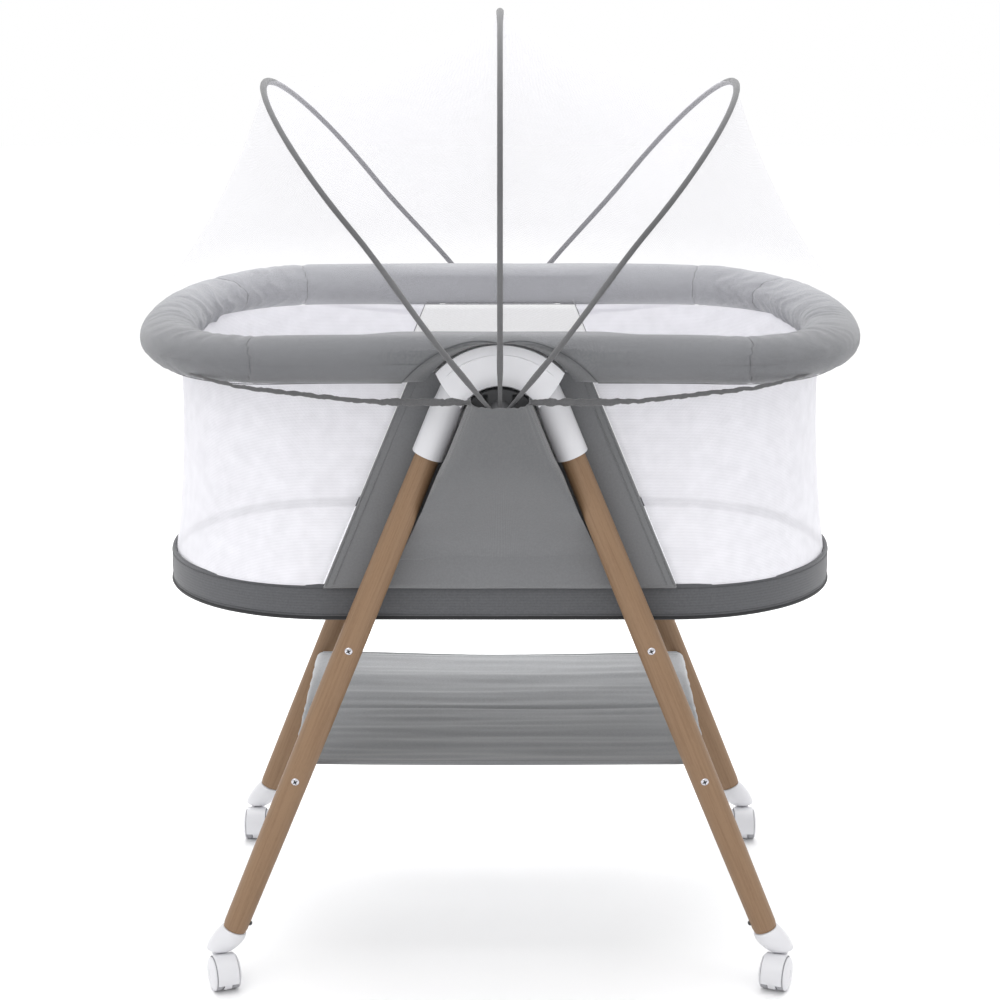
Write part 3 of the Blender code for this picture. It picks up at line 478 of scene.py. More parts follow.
def rounded_box(low, high, radius=0.001, segments=3, matrix=None):
    low, high = Vector(low), Vector(high)
    size = high - low
    bm = bmesh.new()
    bmesh.ops.create_cube(
        bm, size=1.0, matrix=Matrix.Translation((low + high) / 2) @ Matrix.Diagonal((*size, 1.0))
    )
    bmesh.ops.bevel(
        bm,
        geom=bm.edges[:],
        offset=radius,
        offset_type="OFFSET",
        affect="EDGES",
        segments=segments,
        profile=0.5,
        material=-1,
    )
    if matrix is not None:
        bmesh.ops.transform(bm, matrix=matrix, verts=bm.verts)
    return bm


def tube(points, radius, sides=12, closed=False, wobble=None):
    """A round tube along points, with its UV map in metres. wobble(i) gives a radius factor."""
    points = [Vector(p) for p in points]
    count = len(points)
    tangents = []
    for i in range(count):
        if closed:
            step = points[(i + 1) % count] - points[i - 1]
        else:
            step = points[min(i + 1, count - 1)] - points[max(i - 1, 0)]
        tangents.append(step.normalized())
    normal = tangents[0].orthogonal().normalized()
    normals = []
    for tangent in tangents:
        normal = (normal - tangent * normal.dot(tangent)).normalized()
        normals.append(normal.copy())
    total = sum((b - a).length for a, b in zip(points, points[1:]))
    spans = count if closed else count - 1

    def place(u, v):
        i = round(u * spans) % count if closed else round(u * spans)
        a = math.tau * v
        side = normals[i] * math.cos(a) + tangents[i].cross(normals[i]) * math.sin(a)
        scale = wobble(i) if wobble else 1.0
        return points[i] + side * radius * scale

    bm = draped_grid(spans, sides, place, total, math.tau * radius)
    weld(bm)
    if not closed:
        close_holes(bm)
    return bm


def thicken(obj, thickness, offset=0.0):
    solid = obj.modifiers.new("thickness", "SOLIDIFY")
    solid.thickness = thickness
    solid.offset = offset
    return obj


def point_value(obj, name, value):
    """Stores value(co) at each point, for the material to read."""
    attribute = obj.data.attributes.new(name, "FLOAT", "POINT")
    attribute.data.foreach_set("value", [value(v.co) for v in obj.data.vertices])


def veil_over_rail(co):
    share = clamp((co.z - 0.766) / 0.060)
    return 0.22 + 0.78 * smooth(share)


def veil_under_rail(co):
    share = clamp((rail_height(co.x) - 0.0185 - co.z) / 0.006)
    return 0.55 * share * veil_beside_hub(co)


def veil_beside_hub(co):
    return clamp((abs(co.x) - 0.108) / 0.060)


def blend_weights(obj):
    """Bakes obj's placement into its mesh."""
    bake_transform(obj)


def about_y(angle):
    return Matrix.Rotation(angle, 4, "Y")


# ---------------------------------------------------------------- shared lines
def quarter(half_x, half_y, straight, power, count):
    """From the start of the rounded end to its tip, as (x, y)."""
    made = []
    for i in range(count + 1):
        a = math.pi / 2 * i / count
        x = straight / 2 + (half_x - straight / 2) * math.sin(a) ** (2 / power)
        made.append((x, half_y * max(math.cos(a), 0.0) ** (2 / power)))
    return made


def even(points, count):
    """The same line with count points at even spacing."""
    line = np.array([tuple(p) for p in points], float)
    along = np.concatenate([[0], np.cumsum(np.linalg.norm(np.diff(line, axis=0), axis=1))])
    wanted = np.linspace(0, along[-1], count)
    return np.stack([np.interp(wanted, along, line[:, k]) for k in range(line.shape[1])], 1)


def end_line(sx, half_x, half_y, straight, power, start, count):
    """From (start, front) round one end of an oval to (start, rear), evenly spaced."""
    bend = quarter(half_x, half_y, straight, power, 40)
    line = [(start, -half_y)] + [(x, -y) for x, y in bend]
    line += [(x, y) for x, y in reversed(bend[:-1])] + [(start, half_y)]
    return even([(sx * x, y) for x, y in line], count)


def whole_oval(half_x, half_y, straight, power, count):
    """A closed oval from the middle of the front, evenly spaced, without its last point."""
    bend = quarter(half_x, half_y, straight, power, 40)
    right = [(0, -half_y)] + [(x, -y) for x, y in bend] + [(x, y) for x, y in reversed(bend[:-1])]
    left = [(-x, y) for x, y in reversed(right[1:])]
    return even(right + [(0, half_y)] + left + [(0, -half_y)], count + 1)[:-1]


def rail_height(x):
    """Middle of the rail, which falls slightly towards its ends."""
    s = sizes()
    return s.rail_z - RAIL_DROP * (abs(x) / s.rail_half_x) ** 4


def leg_tilt():
    s = sizes()
    return math.atan2(s.leg_foot_x - s.leg_top_x, s.leg_top_z - s.leg_foot_z)


def leg_matrix(sx, sy):
    s = sizes()
    foot = Matrix.Translation((sx * s.leg_foot_x, sy * s.leg_plane, s.leg_foot_z))
    return foot @ about_y(-sx * leg_tilt())


def leg_x(z):
    s = sizes()
    return s.leg_foot_x - (z - s.leg_foot_z) * math.tan(leg_tilt())


def leg_length():
    s = sizes()
    return math.hypot(s.leg_foot_x - s.leg_top_x, s.leg_top_z - s.leg_foot_z)


def leg_radius(along):
    s = sizes()
    share = clamp(along / leg_length())
    plain = s.leg_foot_radius + (s.leg_top_radius - s.leg_foot_radius) * share
    return plain + s.leg_belly * math.sin(math.pi * share)


# ---------------------------------------------------------------- stand
SOCKET_SCREW_Z = 0.0793


def build_leg(side, sx, end, sy):
    """A turned leg with its grain along it and a softened foot."""
    full = leg_length() + 0.055
    matrix = leg_matrix(sx, sy)

    def place(u, v):
        along = 0.0002 + (full - 0.0004) * v
        radius = leg_radius(along) - 0.0012 * max(0.0, 1 - along / 0.0015) ** 2
        a = math.tau * u + (0 if sx > 0 else math.pi)
        return matrix @ Vector((radius * math.cos(a), radius * math.sin(a), along))

    bm = draped_grid(48, 120, place, math.tau * 0.0145, full)
    weld(bm)
    close_holes(bm)
    obj = piece(f"turned_leg_{end}_{side}", bm, wood_finish(), "stand")
    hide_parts(f"leg_{end}_{side}")


def build_screws(side, sx, end, sy):
    """Pan heads with a cross recess, sunk a little in the leg."""
    s = sizes()
    chrome = moulded("plated steel", (0.62, 0.62, 0.66), 0.22, 0.04, 1.0)
    for level, z in (("upper", s.upper_rod_z), ("lower", s.lower_rod_z)):
        seat = leg_radius((z - s.leg_foot_z) / math.cos(leg_tilt())) - 0.0012
        turned = Matrix.Translation((sx * leg_x(z), sy * s.leg_plane, z))
        turned = turned @ Matrix.Rotation(-sy * math.pi / 2, 4, "X")
        head = [(0.0, 0.0011), (0.0014, 0.0011), (0.0016, 0.0023), (0.0030, 0.0020), (0.0042, 0.0012),
                (0.00465, 0.0004), (0.00465, 0.0), (0.0020, 0.0), (0.0020, -0.02), (0.0, -0.02)]
        bm = lathe([(r, seat + h) for r, h in head], 32, turned)
        obj = piece(f"screw_{level}_{end}_{side}", bm, chrome, "stand")
        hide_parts(f"leg_screw_{level}_{end}_{side}")
        # The dark cross stands for the shade inside each head's cross recess: painted shade.
        recess_shade_bars = [rounded_box((-0.0028, -0.0006, seat + 0.0012), (0.0028, 0.0006, seat + 0.0026), 0.0002, 1,
                            turned @ Matrix.Rotation(angle, 4, "Z")) for angle in (0.4, 0.4 + math.pi / 2)]
        piece(f"screw_cross_{level}_{end}_{side}", joined(recess_shade_bars), dark_plastic(), "stand")
    inner = Matrix.Translation((sx * leg_x(SOCKET_SCREW_Z), sy * s.leg_plane, SOCKET_SCREW_Z))
    inner = inner @ about_y(-sx * leg_tilt()) @ Matrix.Rotation(-sx * math.pi / 2, 4, "Y")
    dome = [(0.0, 0.0026), (0.0012, 0.0024), (0.0024, 0.0016), (0.0030, 0.0004), (0.0030, -0.0006), (0.0, -0.0006)]
    bm = lathe([(r, leg_radius(0.012) + h) for r, h in dome], 24, inner)
    piece(f"socket_screw_{end}_{side}", bm, dark_plastic(), "stand")


def build_hub(end, sy):
    """The horseshoe with rounded edges and a sleeve for each leg."""
    s = sizes()
    half = s.hub_depth / 2 - 0.0003
    mid, band = (s.hub_outer + s.hub_inner) / 2, (s.hub_outer - s.hub_inner) / 2 - 0.0002
    section = []
    for i in range(32):
        a = math.tau * i / 32
        bulge = (abs(math.cos(a)) ** 8 + abs(math.sin(a)) ** 8) ** (-1 / 8)
        section.append((mid + band * math.cos(a) * bulge, half * math.sin(a) * bulge))
    low, high = math.radians(30), math.radians(150)
    centre = Vector((0, sy * s.leg_plane, s.hub_z))

    def place(u, v):
        radius, depth = section[round(v * 32) % 32]
        trim = math.radians(12.6) * max(0.0, (radius - s.hub_inner) / (s.hub_outer - s.hub_inner))
        a = low + trim + (high - low - 2 * trim) * u
        return centre + Vector((radius * math.cos(a), depth, radius * math.sin(a)))

    bm = draped_grid(64, 32, place)
    weld(bm)
    close_holes(bm)
    # The arch and its rim take a lighter copy of the white plastic: painted light on the arch inside the pad's niche.
    painted_light_plastic = moulded("hub plastic with painted light", shade(colours().plastic, 1.38), 0.30, 0.05)
    obj = piece(f"hub_horseshoe_{end}", bm, painted_light_plastic, "stand")
    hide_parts(f"hub_arch_{end}")
    r, top, inner = s.sleeve_radius, 0.088, s.leg_top_radius + 0.0006
    profile = [(0.0, top), (r - 0.005, top), (r - 0.0024, top - 0.003), (r - 0.0016, 0.066), (r, 0.054),
               (r, 0.0014), (r - 0.0006, 0.0003), (r - 0.0016, 0.0), (inner + 0.0006, 0.0), (inner, 0.0006),
               (inner, 0.012), (0.0, 0.012)]
    mouth = Matrix.Translation((0, 0, leg_length()))
    sleeves = [lathe(profile, 56, leg_matrix(sx, sy) @ mouth) for side, sx in SIDES]
    obj = piece(f"hub_sleeves_{end}", joined(sleeves), white_plastic(), "stand")
    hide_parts(f"hub_arch_{end}")
    rim = []
    for i in range(65):
        a = math.radians(46) + math.radians(88) * i / 64
        rim.append(centre + Vector((0.0835 * math.cos(a), sy * (half - 0.0001), 0.0835 * math.sin(a))))
    piece(f"hub_rim_{end}", tube(rim, 0.0009, 8), painted_light_plastic, "stand")


def build_socket(side, sx, end, sy):
    """An angled ferrule: round on the leg above, swelling over the caster below."""
    s = sizes()
    top = leg_matrix(sx, sy) @ Matrix.Translation((0, 0, -0.0004))
    low_centre = Vector((sx * (s.swivel_x - 0.0012), sy * s.leg_plane, 0.0436))

    def place(u, v):
        a = math.tau * u
        spot = Vector((math.cos(a), math.sin(a), 0.0))
        upper = top @ (spot * (s.leg_foot_radius + 0.0004))
        point = upper.lerp(low_centre + spot * 0.0162, v)
        middle = Vector((sx * (s.leg_foot_x + s.swivel_x) / 2, sy * s.leg_plane, point.z))
        swell = 0.0032 * math.sin(math.pi * min(1.0, v)) ** 0.8
        return point + (point - middle).normalized() * swell

    bm = draped_grid(48, 16, place)
    weld(bm)
    close_holes(bm)
    rims = [e for e in bm.edges if e.calc_face_angle(0) > math.radians(50)]
    bmesh.ops.bevel(bm, geom=rims, offset=0.0011, affect="EDGES", segments=3, profile=0.5, material=-1)
    obj = piece(f"caster_ferrule_{end}_{side}", bm, white_plastic(), "stand")
    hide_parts(f"caster_socket_{end}_{side}")


def build_caster(side, sx, end, sy):
    """Fender, web and neck of the caster, and its two wheels with grey treads."""
    s = sizes()
    yaw = -sx * s.caster_yaw if end == "front" else 0.0
    swivel = Matrix.Translation((sx * s.swivel_x, sy * s.leg_plane, 0)) @ Matrix.Rotation(yaw, 4, "Z")
    axle = swivel @ Matrix.Translation((0, -s.caster_trail, s.wheel_radius)) @ about_y(math.pi / 2)
    outer, inner, half = 0.0219, 0.0206, 0.0124
    rim = [(inner, -half), (outer - 0.0006, -half), (outer, -half + 0.0007), (outer, half - 0.0007),
           (outer - 0.0006, half), (inner, half), (inner, -half)]
    sweep = math.radians(222)
    fender = lathe(rim, 56, axle @ Matrix.Rotation(math.pi - sweep / 2, 4, "Z"), sweep)
    close_holes(fender)
    web = lathe([(0.0, 0.0044), (0.0207, 0.0044), (0.0207, -0.0044), (0.0, -0.0044)], 48, axle)
    bmesh.ops.bisect_plane(
        web, geom=web.verts[:] + web.edges[:] + web.faces[:], plane_co=(0, 0, 0.0046), plane_no=(0, 0, -1),
        clear_outer=True,
    )
    close_holes(web)
    neck = lathe([(0.0, 0.0430), (0.0066, 0.0430), (0.0078, 0.0422), (0.0082, 0.0400), (0.0090, 0.0370),
                  (0.0104, 0.0340), (0.0104, 0.026), (0.0, 0.026)], 40, swivel)
    for vert in neck.verts:
        local = swivel.inverted() @ vert.co
        if local.z < 0.035:
            local.x *= 0.62
            vert.co = swivel @ local
    body = add_into(add_into(fender, web), neck)
    if end == "front":
        ears = rounded_box((-0.0045, 0.002, 0.0275), (0.0045, 0.0127, 0.0345), 0.0009, 2, swivel)
        body = add_into(body, ears)
    obj = piece(f"caster_fender_{end}_{side}", body, white_plastic(), f"caster_{end}_{side}")
    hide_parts(f"caster_hood_{end}_{side}")
    r = s.wheel_radius
    tread = [(0.004, 0.0131), (r - 0.0012, 0.0131), (r - 0.0006, 0.0128), (r - 0.0002, 0.0118), (r - 0.0002, 0.0062),
             (r - 0.0008, 0.0054), (0.004, 0.0054)]
    cap = [(0.0, 0.0160), (0.0048, 0.0160), (0.0056, 0.0166), (0.0066, 0.0166), (0.0110, 0.0164), (0.0160, 0.0160),
           (0.0176, 0.0156), (0.0190, 0.0148), (0.0196, 0.0140), (0.0196, 0.0134), (0.0188, 0.0132), (0.0, 0.0132)]
    for hand, word in ((-1, "a"), (1, "b")):
        matrix = axle if hand == 1 else axle @ Matrix.Rotation(math.pi, 4, "X")
        wheel = f"wheel_{end}_{side}_{word}"
        grey = moulded("grey tread", colours().tread, 0.6, 0.3)
        closed = tread + [tread[0]]
        obj = piece(f"tread_{end}_{side}_{word}", lathe(closed, 56, matrix), grey, wheel)
        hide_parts(wheel)
        obj = piece(f"wheel_disc_{end}_{side}_{word}", lathe(cap, 56, matrix), white_plastic(), wheel)
        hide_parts(wheel)


# ---------------------------------------------------------------- padded rail
def arch_distance(co):
    s = sizes()
    return math.hypot(co.x, co.z - s.hub_z) - s.hub_outer


RAIL_POWER = 2.19
RAIL_DROP = 0.008
RAIL_SEAMS = {True: (0.262,), False: (0.246, 0.342)}


def rail_frames(count):
    """Evenly spaced points on the rail's middle line, with the outward direction at each."""
    s = sizes()
    line = whole_oval(s.rail_half_x, s.rail_half_y, s.rail_straight, RAIL_POWER, count)
    ahead = np.roll(line, -1, 0) - np.roll(line, 1, 0)
    ahead /= np.linalg.norm(ahead, axis=1)[:, None]
    outward = np.stack([ahead[:, 1], -ahead[:, 0]], 1)
    return line, outward


def rail_point(line, outward, i, angle, grow=0.0):
    """A point on the padding's surface. angle 0 is outwards and a quarter turn is up."""
    s = sizes()
    x, y = line[i]
    a, b = s.pad_half_width + grow, s.pad_half_height + grow
    n = outward[i]
    return Vector((x + n[0] * a * math.cos(angle), y + n[1] * a * math.cos(angle),
                   rail_height(x) + b * math.sin(angle)))


def rail_folds(x, y, angle):
    """Small folds in the cover: tight ones where the ends bend, and a slack unevenness elsewhere."""
    bend = clamp((abs(x) - 0.20) / 0.10)
    inner = 0.5 - 0.5 * math.cos(angle)
    heading = math.atan2(y, abs(x) - 0.15)
    warp = 2.2 * noise.noise(Vector((x * 9, y * 9, math.sin(angle) * 1.3)))
    ripple = noise.noise(Vector((heading * 13 + warp, math.copysign(3.0, x) + warp * 0.3, math.cos(angle) * 0.5)))
    ripple = -abs(ripple) ** 0.8
    slack = noise.noise(Vector((x * 14, y * 14, angle * 0.8)))
    return bend * (0.25 + 0.75 * inner) * ripple * 0.0052 + 0.0006 * slack


def seam_place(seam, angle):
    """Where a cross seam lies along the rail, curving a little over its top and underside."""
    return seam + 0.007 * math.sin(angle) ** 2


def seam_dip(distance, width=0.0024, depth=0.0015):
    return -depth * math.exp(-((distance / width) ** 2))


def build_rail():
    """The woven rail cover with its cross seams, bend folds and the sloped niche at each hub."""
    s = sizes()
    columns, sides = 720, 56
    line, outward = rail_frames(columns)

    def place(u, v):
        i = round(u * columns) % columns
        angle = math.tau * v
        x, y = line[i]
        lift = rail_folds(x, y, angle)
        for seam in RAIL_SEAMS[y < 0]:
            lift += seam_dip(abs(x) - seam_place(seam, angle))
        point = rail_point(line, outward, i, angle, 0.0)
        centre = Vector((x, y, rail_height(x)))
        point += (point - centre).normalized() * lift
        if math.cos(angle) < 0:
            full = smooth(1 - clamp((abs(x) - 0.105) / 0.05))
            square = min(1.0, abs(math.cos(angle)) / 0.74) ** 0.5
            wanted = s.rail_half_y - (s.rail_half_y - s.leg_plane + s.hub_depth / 2 + 0.0016) * square
            point.y += (math.copysign(wanted, y) - point.y) * full
        d = arch_distance(point)
        zone = 0.004 + 0.022 * min(1.0, abs(point.x) / 0.10)
        if math.cos(angle) > 0 and abs(x) < 0.2 and d < zone:
            share = clamp(1 - d / zone)
            target = s.leg_plane + s.hub_depth / 2 + 0.003
            far = abs(point.y)
            if far > target:
                point.y = math.copysign(far + (target - far) * smooth(share), point.y)
        return point

    bm = draped_grid(columns, sides, place, 2.05, 0.19)
    weld(bm, 0.00002)
    obj = piece("rail_cover", bm, rail_cloth(), angle=60)
    inner, r = s.leg_plane - s.hub_depth / 2 - 0.0003, s.hub_outer + 0.0017
    knives = []
    for end, sy in ENDS:
        turned = Matrix.Translation((0, 0, s.hub_z)) @ Matrix.Rotation(-sy * math.pi / 2, 4, "X")
        bm = lathe([(0.0, inner), (r, inner), (r, 0.5), (0.0, 0.5)], 160, turned)
        knife = piece(f"niche_knife_{end}", bm, rail_cloth())
        cut = obj.modifiers.new(f"niche_{end}", "BOOLEAN")
        cut.operation, cut.solver, cut.object = "DIFFERENCE", "EXACT", knife
        knives.append(knife)
    bpy.context.view_layer.update()
    made = bpy.data.meshes.new_from_object(obj.evaluated_get(bpy.context.evaluated_depsgraph_get()))
    obj.modifiers.clear()
    obj.data = made
    made.shade_smooth()
    made.set_sharp_from_angle(angle=math.radians(50))
    for knife in knives:
        bpy.data.objects.remove(knife, do_unlink=True)
    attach(obj, "stand")
    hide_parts("rail_pad")
    build_rail_stitches(line, outward)


STITCH = 0.0005


def build_rail_stitches(line, outward):
    """The sewn lines of the cover: along its underside, across it, and round each niche."""
    s = sizes()
    columns = len(line)
    threads_made = []
    for low, high in ((-0.372, -0.105), (0.105, 0.372)):
        for front in (True, False):
            keep = [i for i in range(columns) if (line[i][1] < 0) == front and low < line[i][0] < high]
            keep.sort(key=lambda i: line[i][0])
            points = [rail_point(line, outward, i, math.radians(-72), 0.0002) for i in keep]
            threads_made.append(tube(points, STITCH, 6))
    for front, seams in RAIL_SEAMS.items():
        half = [i for i in range(columns) if (line[i][1] < 0) == front]
        for seam, sx in [(seam, sx) for seam in seams for sx in (-1, 1)]:
            points = []
            for k in range(49):
                angle = math.tau * k / 48
                wanted = sx * seam_place(seam, angle)
                i = min(half, key=lambda n, wanted=wanted: abs(line[n][0] - wanted))
                lift = rail_folds(*line[i], angle) - 0.00125
                points.append(rail_point(line, outward, i, angle, lift))
            threads_made.append(tube(points, STITCH, 6))
    for sy in (-1, 1):
        points = []
        for k in range(61):
            a = math.radians(28) + math.radians(124) * k / 60
            r = s.hub_outer + 0.0045 + 0.021 * min(1.0, abs(math.cos(a)) * 1.05)
            x, z = r * math.cos(a), s.hub_z + r * math.sin(a)
            inside = 1 - ((z - rail_height(x)) / s.pad_half_height) ** 2
            if inside > 0.02:
                y = s.rail_half_y + s.pad_half_width * math.sqrt(inside) + 0.0001
                points.append((x, sy * y, z))
        threads_made.append(tube(points, STITCH, 6))
    made = joined(threads_made)
    piece("rail_stitching", made, thread_finish(), "stand")


# ---------------------------------------------------------------- cot
BAND_POWER, BAND_STRAIGHT = 2.1, 0.380


def band_line(count, grow=0.0):
    low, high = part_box("base_band")
    half_x, half_y = (high.x - low.x) / 2 + grow, (high.y - low.y) / 2 + grow
    return whole_oval(half_x, half_y, BAND_STRAIGHT, BAND_POWER, count)


def build_band():
    """The cloth band with its sewn floor, a dark piping below and a stitched top edge."""
    low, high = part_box("base_band")
    count = 560
    line = band_line(count, -0.0006)
    tall = high.z - low.z
    section = [(1.0, 0.0), (1.0, 0.10), (1.0, 0.45), (1.0, 0.8), (1.0, 0.97), (0.9965, 1.0), (0.991, 0.985),
               (0.990, 0.9), (0.990, 0.4)]

    def place(u, v):
        i = round(u * count) % count
        k = round(v * (len(section) - 1))
        shrink, rise = section[k]
        x, y = line[i]
        bulge = 0.0011 * math.sin(math.pi * min(rise / 0.97, 1.0)) if k < 5 else 0.0
        bulge += 0.0005 * noise.noise(Vector((x * 22, y * 22, rise * 3)))
        norm = math.hypot(x, y)
        return Vector((x * shrink + x / norm * bulge, y * shrink + y / norm * bulge, low.z + rise * tall))

    bm = draped_grid(count, len(section) - 1, place, 2.0, tall)
    weld(bm)
    bottom = [e for e in bm.edges if e.is_boundary and all(abs(v.co.z - low.z) < 1e-5 for v in e.verts)]
    ring = bmesh.ops.extrude_edge_only(bm, edges=bottom)["geom"]
    ring_verts = [g for g in ring if isinstance(g, bmesh.types.BMVert)]
    for vert in ring_verts:
        vert.co = Vector((vert.co.x * 0.985, vert.co.y * 0.97, low.z + 0.0006))
    edges = [e for e in bm.edges if e.is_boundary and all(abs(v.co.z - low.z - 0.0006) < 1e-5 for v in e.verts)]
    bmesh.ops.holes_fill(bm, edges=edges, sides=0)
    obj = piece("foot_band", bm, woven("band cloth", colours().band, 0.0012, 0.15), "stand")
    thicken(obj, 0.0008, -1.0)
    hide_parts("base_band")
    points = [(x, y, low.z + 0.0024) for x, y in band_line(360, -0.0008)]
    piece("band_piping", tube(points, 0.0022, 10, closed=True), piping_cloth(), "stand")
    for name, rise in (("band_stitch_low", 0.0066), ("band_stitch_high", tall - 0.0050)):
        bulge = 0.0010 * math.sin(math.pi * rise / tall)
        points = [(x, y, low.z + rise) for x, y in band_line(360, -0.0004 + bulge)]
        bm = tube(points, 0.00035, 6, closed=True)
        piece(name, bm, woven("band thread", shade(colours().band, 0.75), 0.0006, 0.1), "stand")


def panel_half(z):
    """Half the width of a side panel at a height, as its two edges lean in."""
    (low, wide), (high, narrow) = (0.4745, 0.198), (0.730, 0.0925)
    return wide + (narrow - wide) * (z - low) / (high - low)


def build_panel(end, sy):
    """A plain cloth panel, drawn tight between its two leaning edges, and its pale lining."""
    low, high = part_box(f"side_panel_{end}")
    plane = (low.y + high.y) / 2

    def surface(away, pull):
        def place(u, v):
            z = low.z - 0.004 + (0.7255 - low.z + 0.004) * v
            x = panel_half(z) * (2 * u - 1)
            slack = 0.0012 * noise.noise(Vector((x * 9, z * 7, sy * 4.0)))
            dip = pull * math.sin(math.pi * u) * math.sin(math.pi * v)
            return Vector((x, plane + sy * (away - dip + slack), z))

        return place

    bm = draped_grid(80, 50, surface(0.0010, 0.001), 0.39, 0.26)
    cloth = woven("panel cloth", colours().panel, 0.0010, 0.10)
    obj = piece(f"panel_{end}", bm, cloth, "stand")
    thicken(obj, 0.0008)
    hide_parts(f"side_panel_{end}")
    bm = draped_grid(60, 40, surface(-0.0035, 0.0), 0.39, 0.26)
    obj = piece(f"panel_lining_{end}", bm, lining_cloth(), "stand")
    thicken(obj, 0.0006)
    edging = []
    for sx in (-1, 1):
        for inset, proud, radius, around in ((0.0004, 0.0012, 0.0013, 8), (0.009, 0.0018, 0.0004, 6)):
            points = [Vector((sx * (panel_half(z) - inset), plane + sy * proud, z))
                      for z in np.linspace(low.z, high.z, 30)]
            edging.append(tube(points, radius, around))
    piece(f"panel_edging_{end}", joined(edging), cloth, "stand")


def build_wall(side, sx):
    """The open mesh wall round one end of the cot, drawn slightly in at mid height."""
    low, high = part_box(f"mesh_wall_{side}")
    count = 140
    tall = high.z + 0.0225 - low.z
    rows = []
    for k in range(31):
        share = k / 30
        z = low.z - 0.003 + tall * share
        half_x = (0.776 - (0.776 - 0.752) * share) / 2 - 0.0055 * math.sin(math.pi * share)
        half_y = (0.393 + (0.404 - 0.393) * share) / 2 - 0.004 * math.sin(math.pi * share)
        line = end_line(sx, half_x, half_y, 0.41, BAND_POWER, panel_half(min(z, 0.73)) + 0.0015, count + 1)
        rows.append([Vector((x, y, z)) for x, y in line])

    def place(u, v):
        point = rows[round(v * 30)][round(u * count)]
        slack = 0.0012 * noise.noise(Vector((point.x * 8, point.y * 8, point.z * 5)))
        return point + Vector((point.x, point.y, 0)).normalized() * slack

    bm = draped_grid(count, 30, place, 0.86, tall)
    mesh = netting("wall mesh", colours().wall, 0.16, 0.0017)
    obj = piece(f"wall_mesh_{side}", bm, mesh, "stand")
    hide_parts(f"mesh_wall_{side}")


def build_mattress():
    """A thin mattress with a crowned top, soft edges and a quilted cover, on its board."""
    low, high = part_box("mattress")
    half_x, half_y = (high.x - low.x) / 2, (high.y - low.y) / 2
    count = 180
    line = whole_oval(half_x - 0.0006, half_y - 0.0006, BAND_STRAIGHT, BAND_POWER, count)
    steps = [(0.0, 0.0), (0.985, 0.0), (0.996, 0.12), (1.0, 0.5), (0.997, 0.85), (0.985, 0.96), (0.94, 1.0), (0.8, 1.0),
             (0.6, 1.0), (0.4, 1.0), (0.2, 1.0), (0.0, 1.0)]

    def place(u, v):
        i = round(u * count) % count
        share, rise = steps[round(v * (len(steps) - 1))]
        x, y = line[i] * share
        z = low.z + 0.0002 + rise * (high.z - low.z - 0.0008)
        if rise > 0.9:
            z -= 0.0006 * (1 + math.cos(x * 62)) * (1 + math.cos(y * 62)) * 0.5
        return Vector((x, y, z))

    bm = draped_grid(count, len(steps) - 1, place, 2.0, 0.4)
    weld(bm, 0.00002)
    cover = woven("mattress cover", (0.84, 0.84, 0.86), 0.0010, 0.03)
    obj = piece("mattress_pad", bm, cover, "stand", angle=70)
    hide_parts("mattress")


# ---------------------------------------------------------------- shelf
def build_shelf():
    """The storage sheet: taut across, with creases along it and a sleeve round each lower rod."""
    s = sizes()
    rod = leg_x(s.lower_rod_z)
    low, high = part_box("storage_shelf")
    top = high.z - 0.0008
    wrap = 0.0084
    span = 2 * rod
    around = math.pi * 1.25 * wrap
    total = span + 2 * around

    def sag(x, y):
        edge = min(1.0, (rod - abs(x)) / 0.03)
        wave = noise.noise(Vector((x * 3.2, y * 34, 1.7))) + 0.5 * noise.noise(Vector((x * 6, y * 70, 4.2)))
        return edge * (0.0028 * wave - 0.0010) - 0.0021 * edge * math.cos(math.pi * x / (2 * rod))

    def place(u, v):
        y = low.y + (high.y - low.y) * v
        t = u * total
        pinch = 0.0018 * math.sin(y * 140 + 3 * noise.noise(Vector((y * 20, 0, 0))))
        if t < around:
            a = math.pi * 1.25 * (1 - t / around)
            x, z = -rod - (wrap + 0.3 * pinch) * math.sin(a), s.lower_rod_z + wrap * math.cos(a)
        elif t > total - around:
            a = math.pi * 1.25 * (1 - (total - t) / around)
            x, z = rod + (wrap + 0.3 * pinch) * math.sin(a), s.lower_rod_z + wrap * math.cos(a)
        else:
            x = -rod + t - around
            z = top + sag(x, y) - 0.0030 * math.exp(-(((y + 0.005) / 0.006) ** 2))
        return Vector((x, y, z))

    bm = draped_grid(130, 150, place, 0.53, 0.41)
    # The shelf is painted darker at the front and much lighter at the rear: painted light and shade.
    cloth = woven("shelf cloth", colours().shelf, 0.0011, 0.13, painted_light_fade=(0.90, 2.30))
    obj = piece("shelf_sheet", bm, cloth, "stand", angle=70)
    thicken(obj, 0.0010)
    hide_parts("storage_shelf")
    hems = []
    for y, rise, radius in ((low.y + 0.0016, 0.0, 0.0017), (high.y - 0.0016, 0.0, 0.0017),
                            (low.y + 0.0110, 0.0004, 0.0004), (high.y - 0.0110, 0.0004, 0.0004)):
        points = [(x, y, top + sag(x, y) + rise) for x in np.linspace(-rod, rod, 90)]
        hems.append(tube(points, radius, 8))
    piece("shelf_hems", joined(hems), cloth, "stand")
    tabs = [rounded_box((sx * rod - 0.006, low.y - 0.0006, s.lower_rod_z - 0.017),
                        (sx * rod + 0.006, low.y + 0.012, s.lower_rod_z - 0.0095), 0.0006, 2) for sx in (-1, 1)]
    piece("shelf_tabs", joined(tabs), piping_cloth(), "stand")


# ---------------------------------------------------------------- canopy
# each hoop's lean as a share of the outer angle, its radius at the top, and its foot's distance from the middle
HOOPS = {"left": (-1.0, 0.430, 0.2995), "centre": (0.0, 0.414, 0.2943), "right": (1.0, 0.430, 0.2891)}
SHOULDER, HOOP_HALF, CRANK_LOW, CRANK_HIGH = 0.260, 0.240, 0.085, 0.250
HOOP_START = 0.0045
RELAX_ROUNDS = 3200


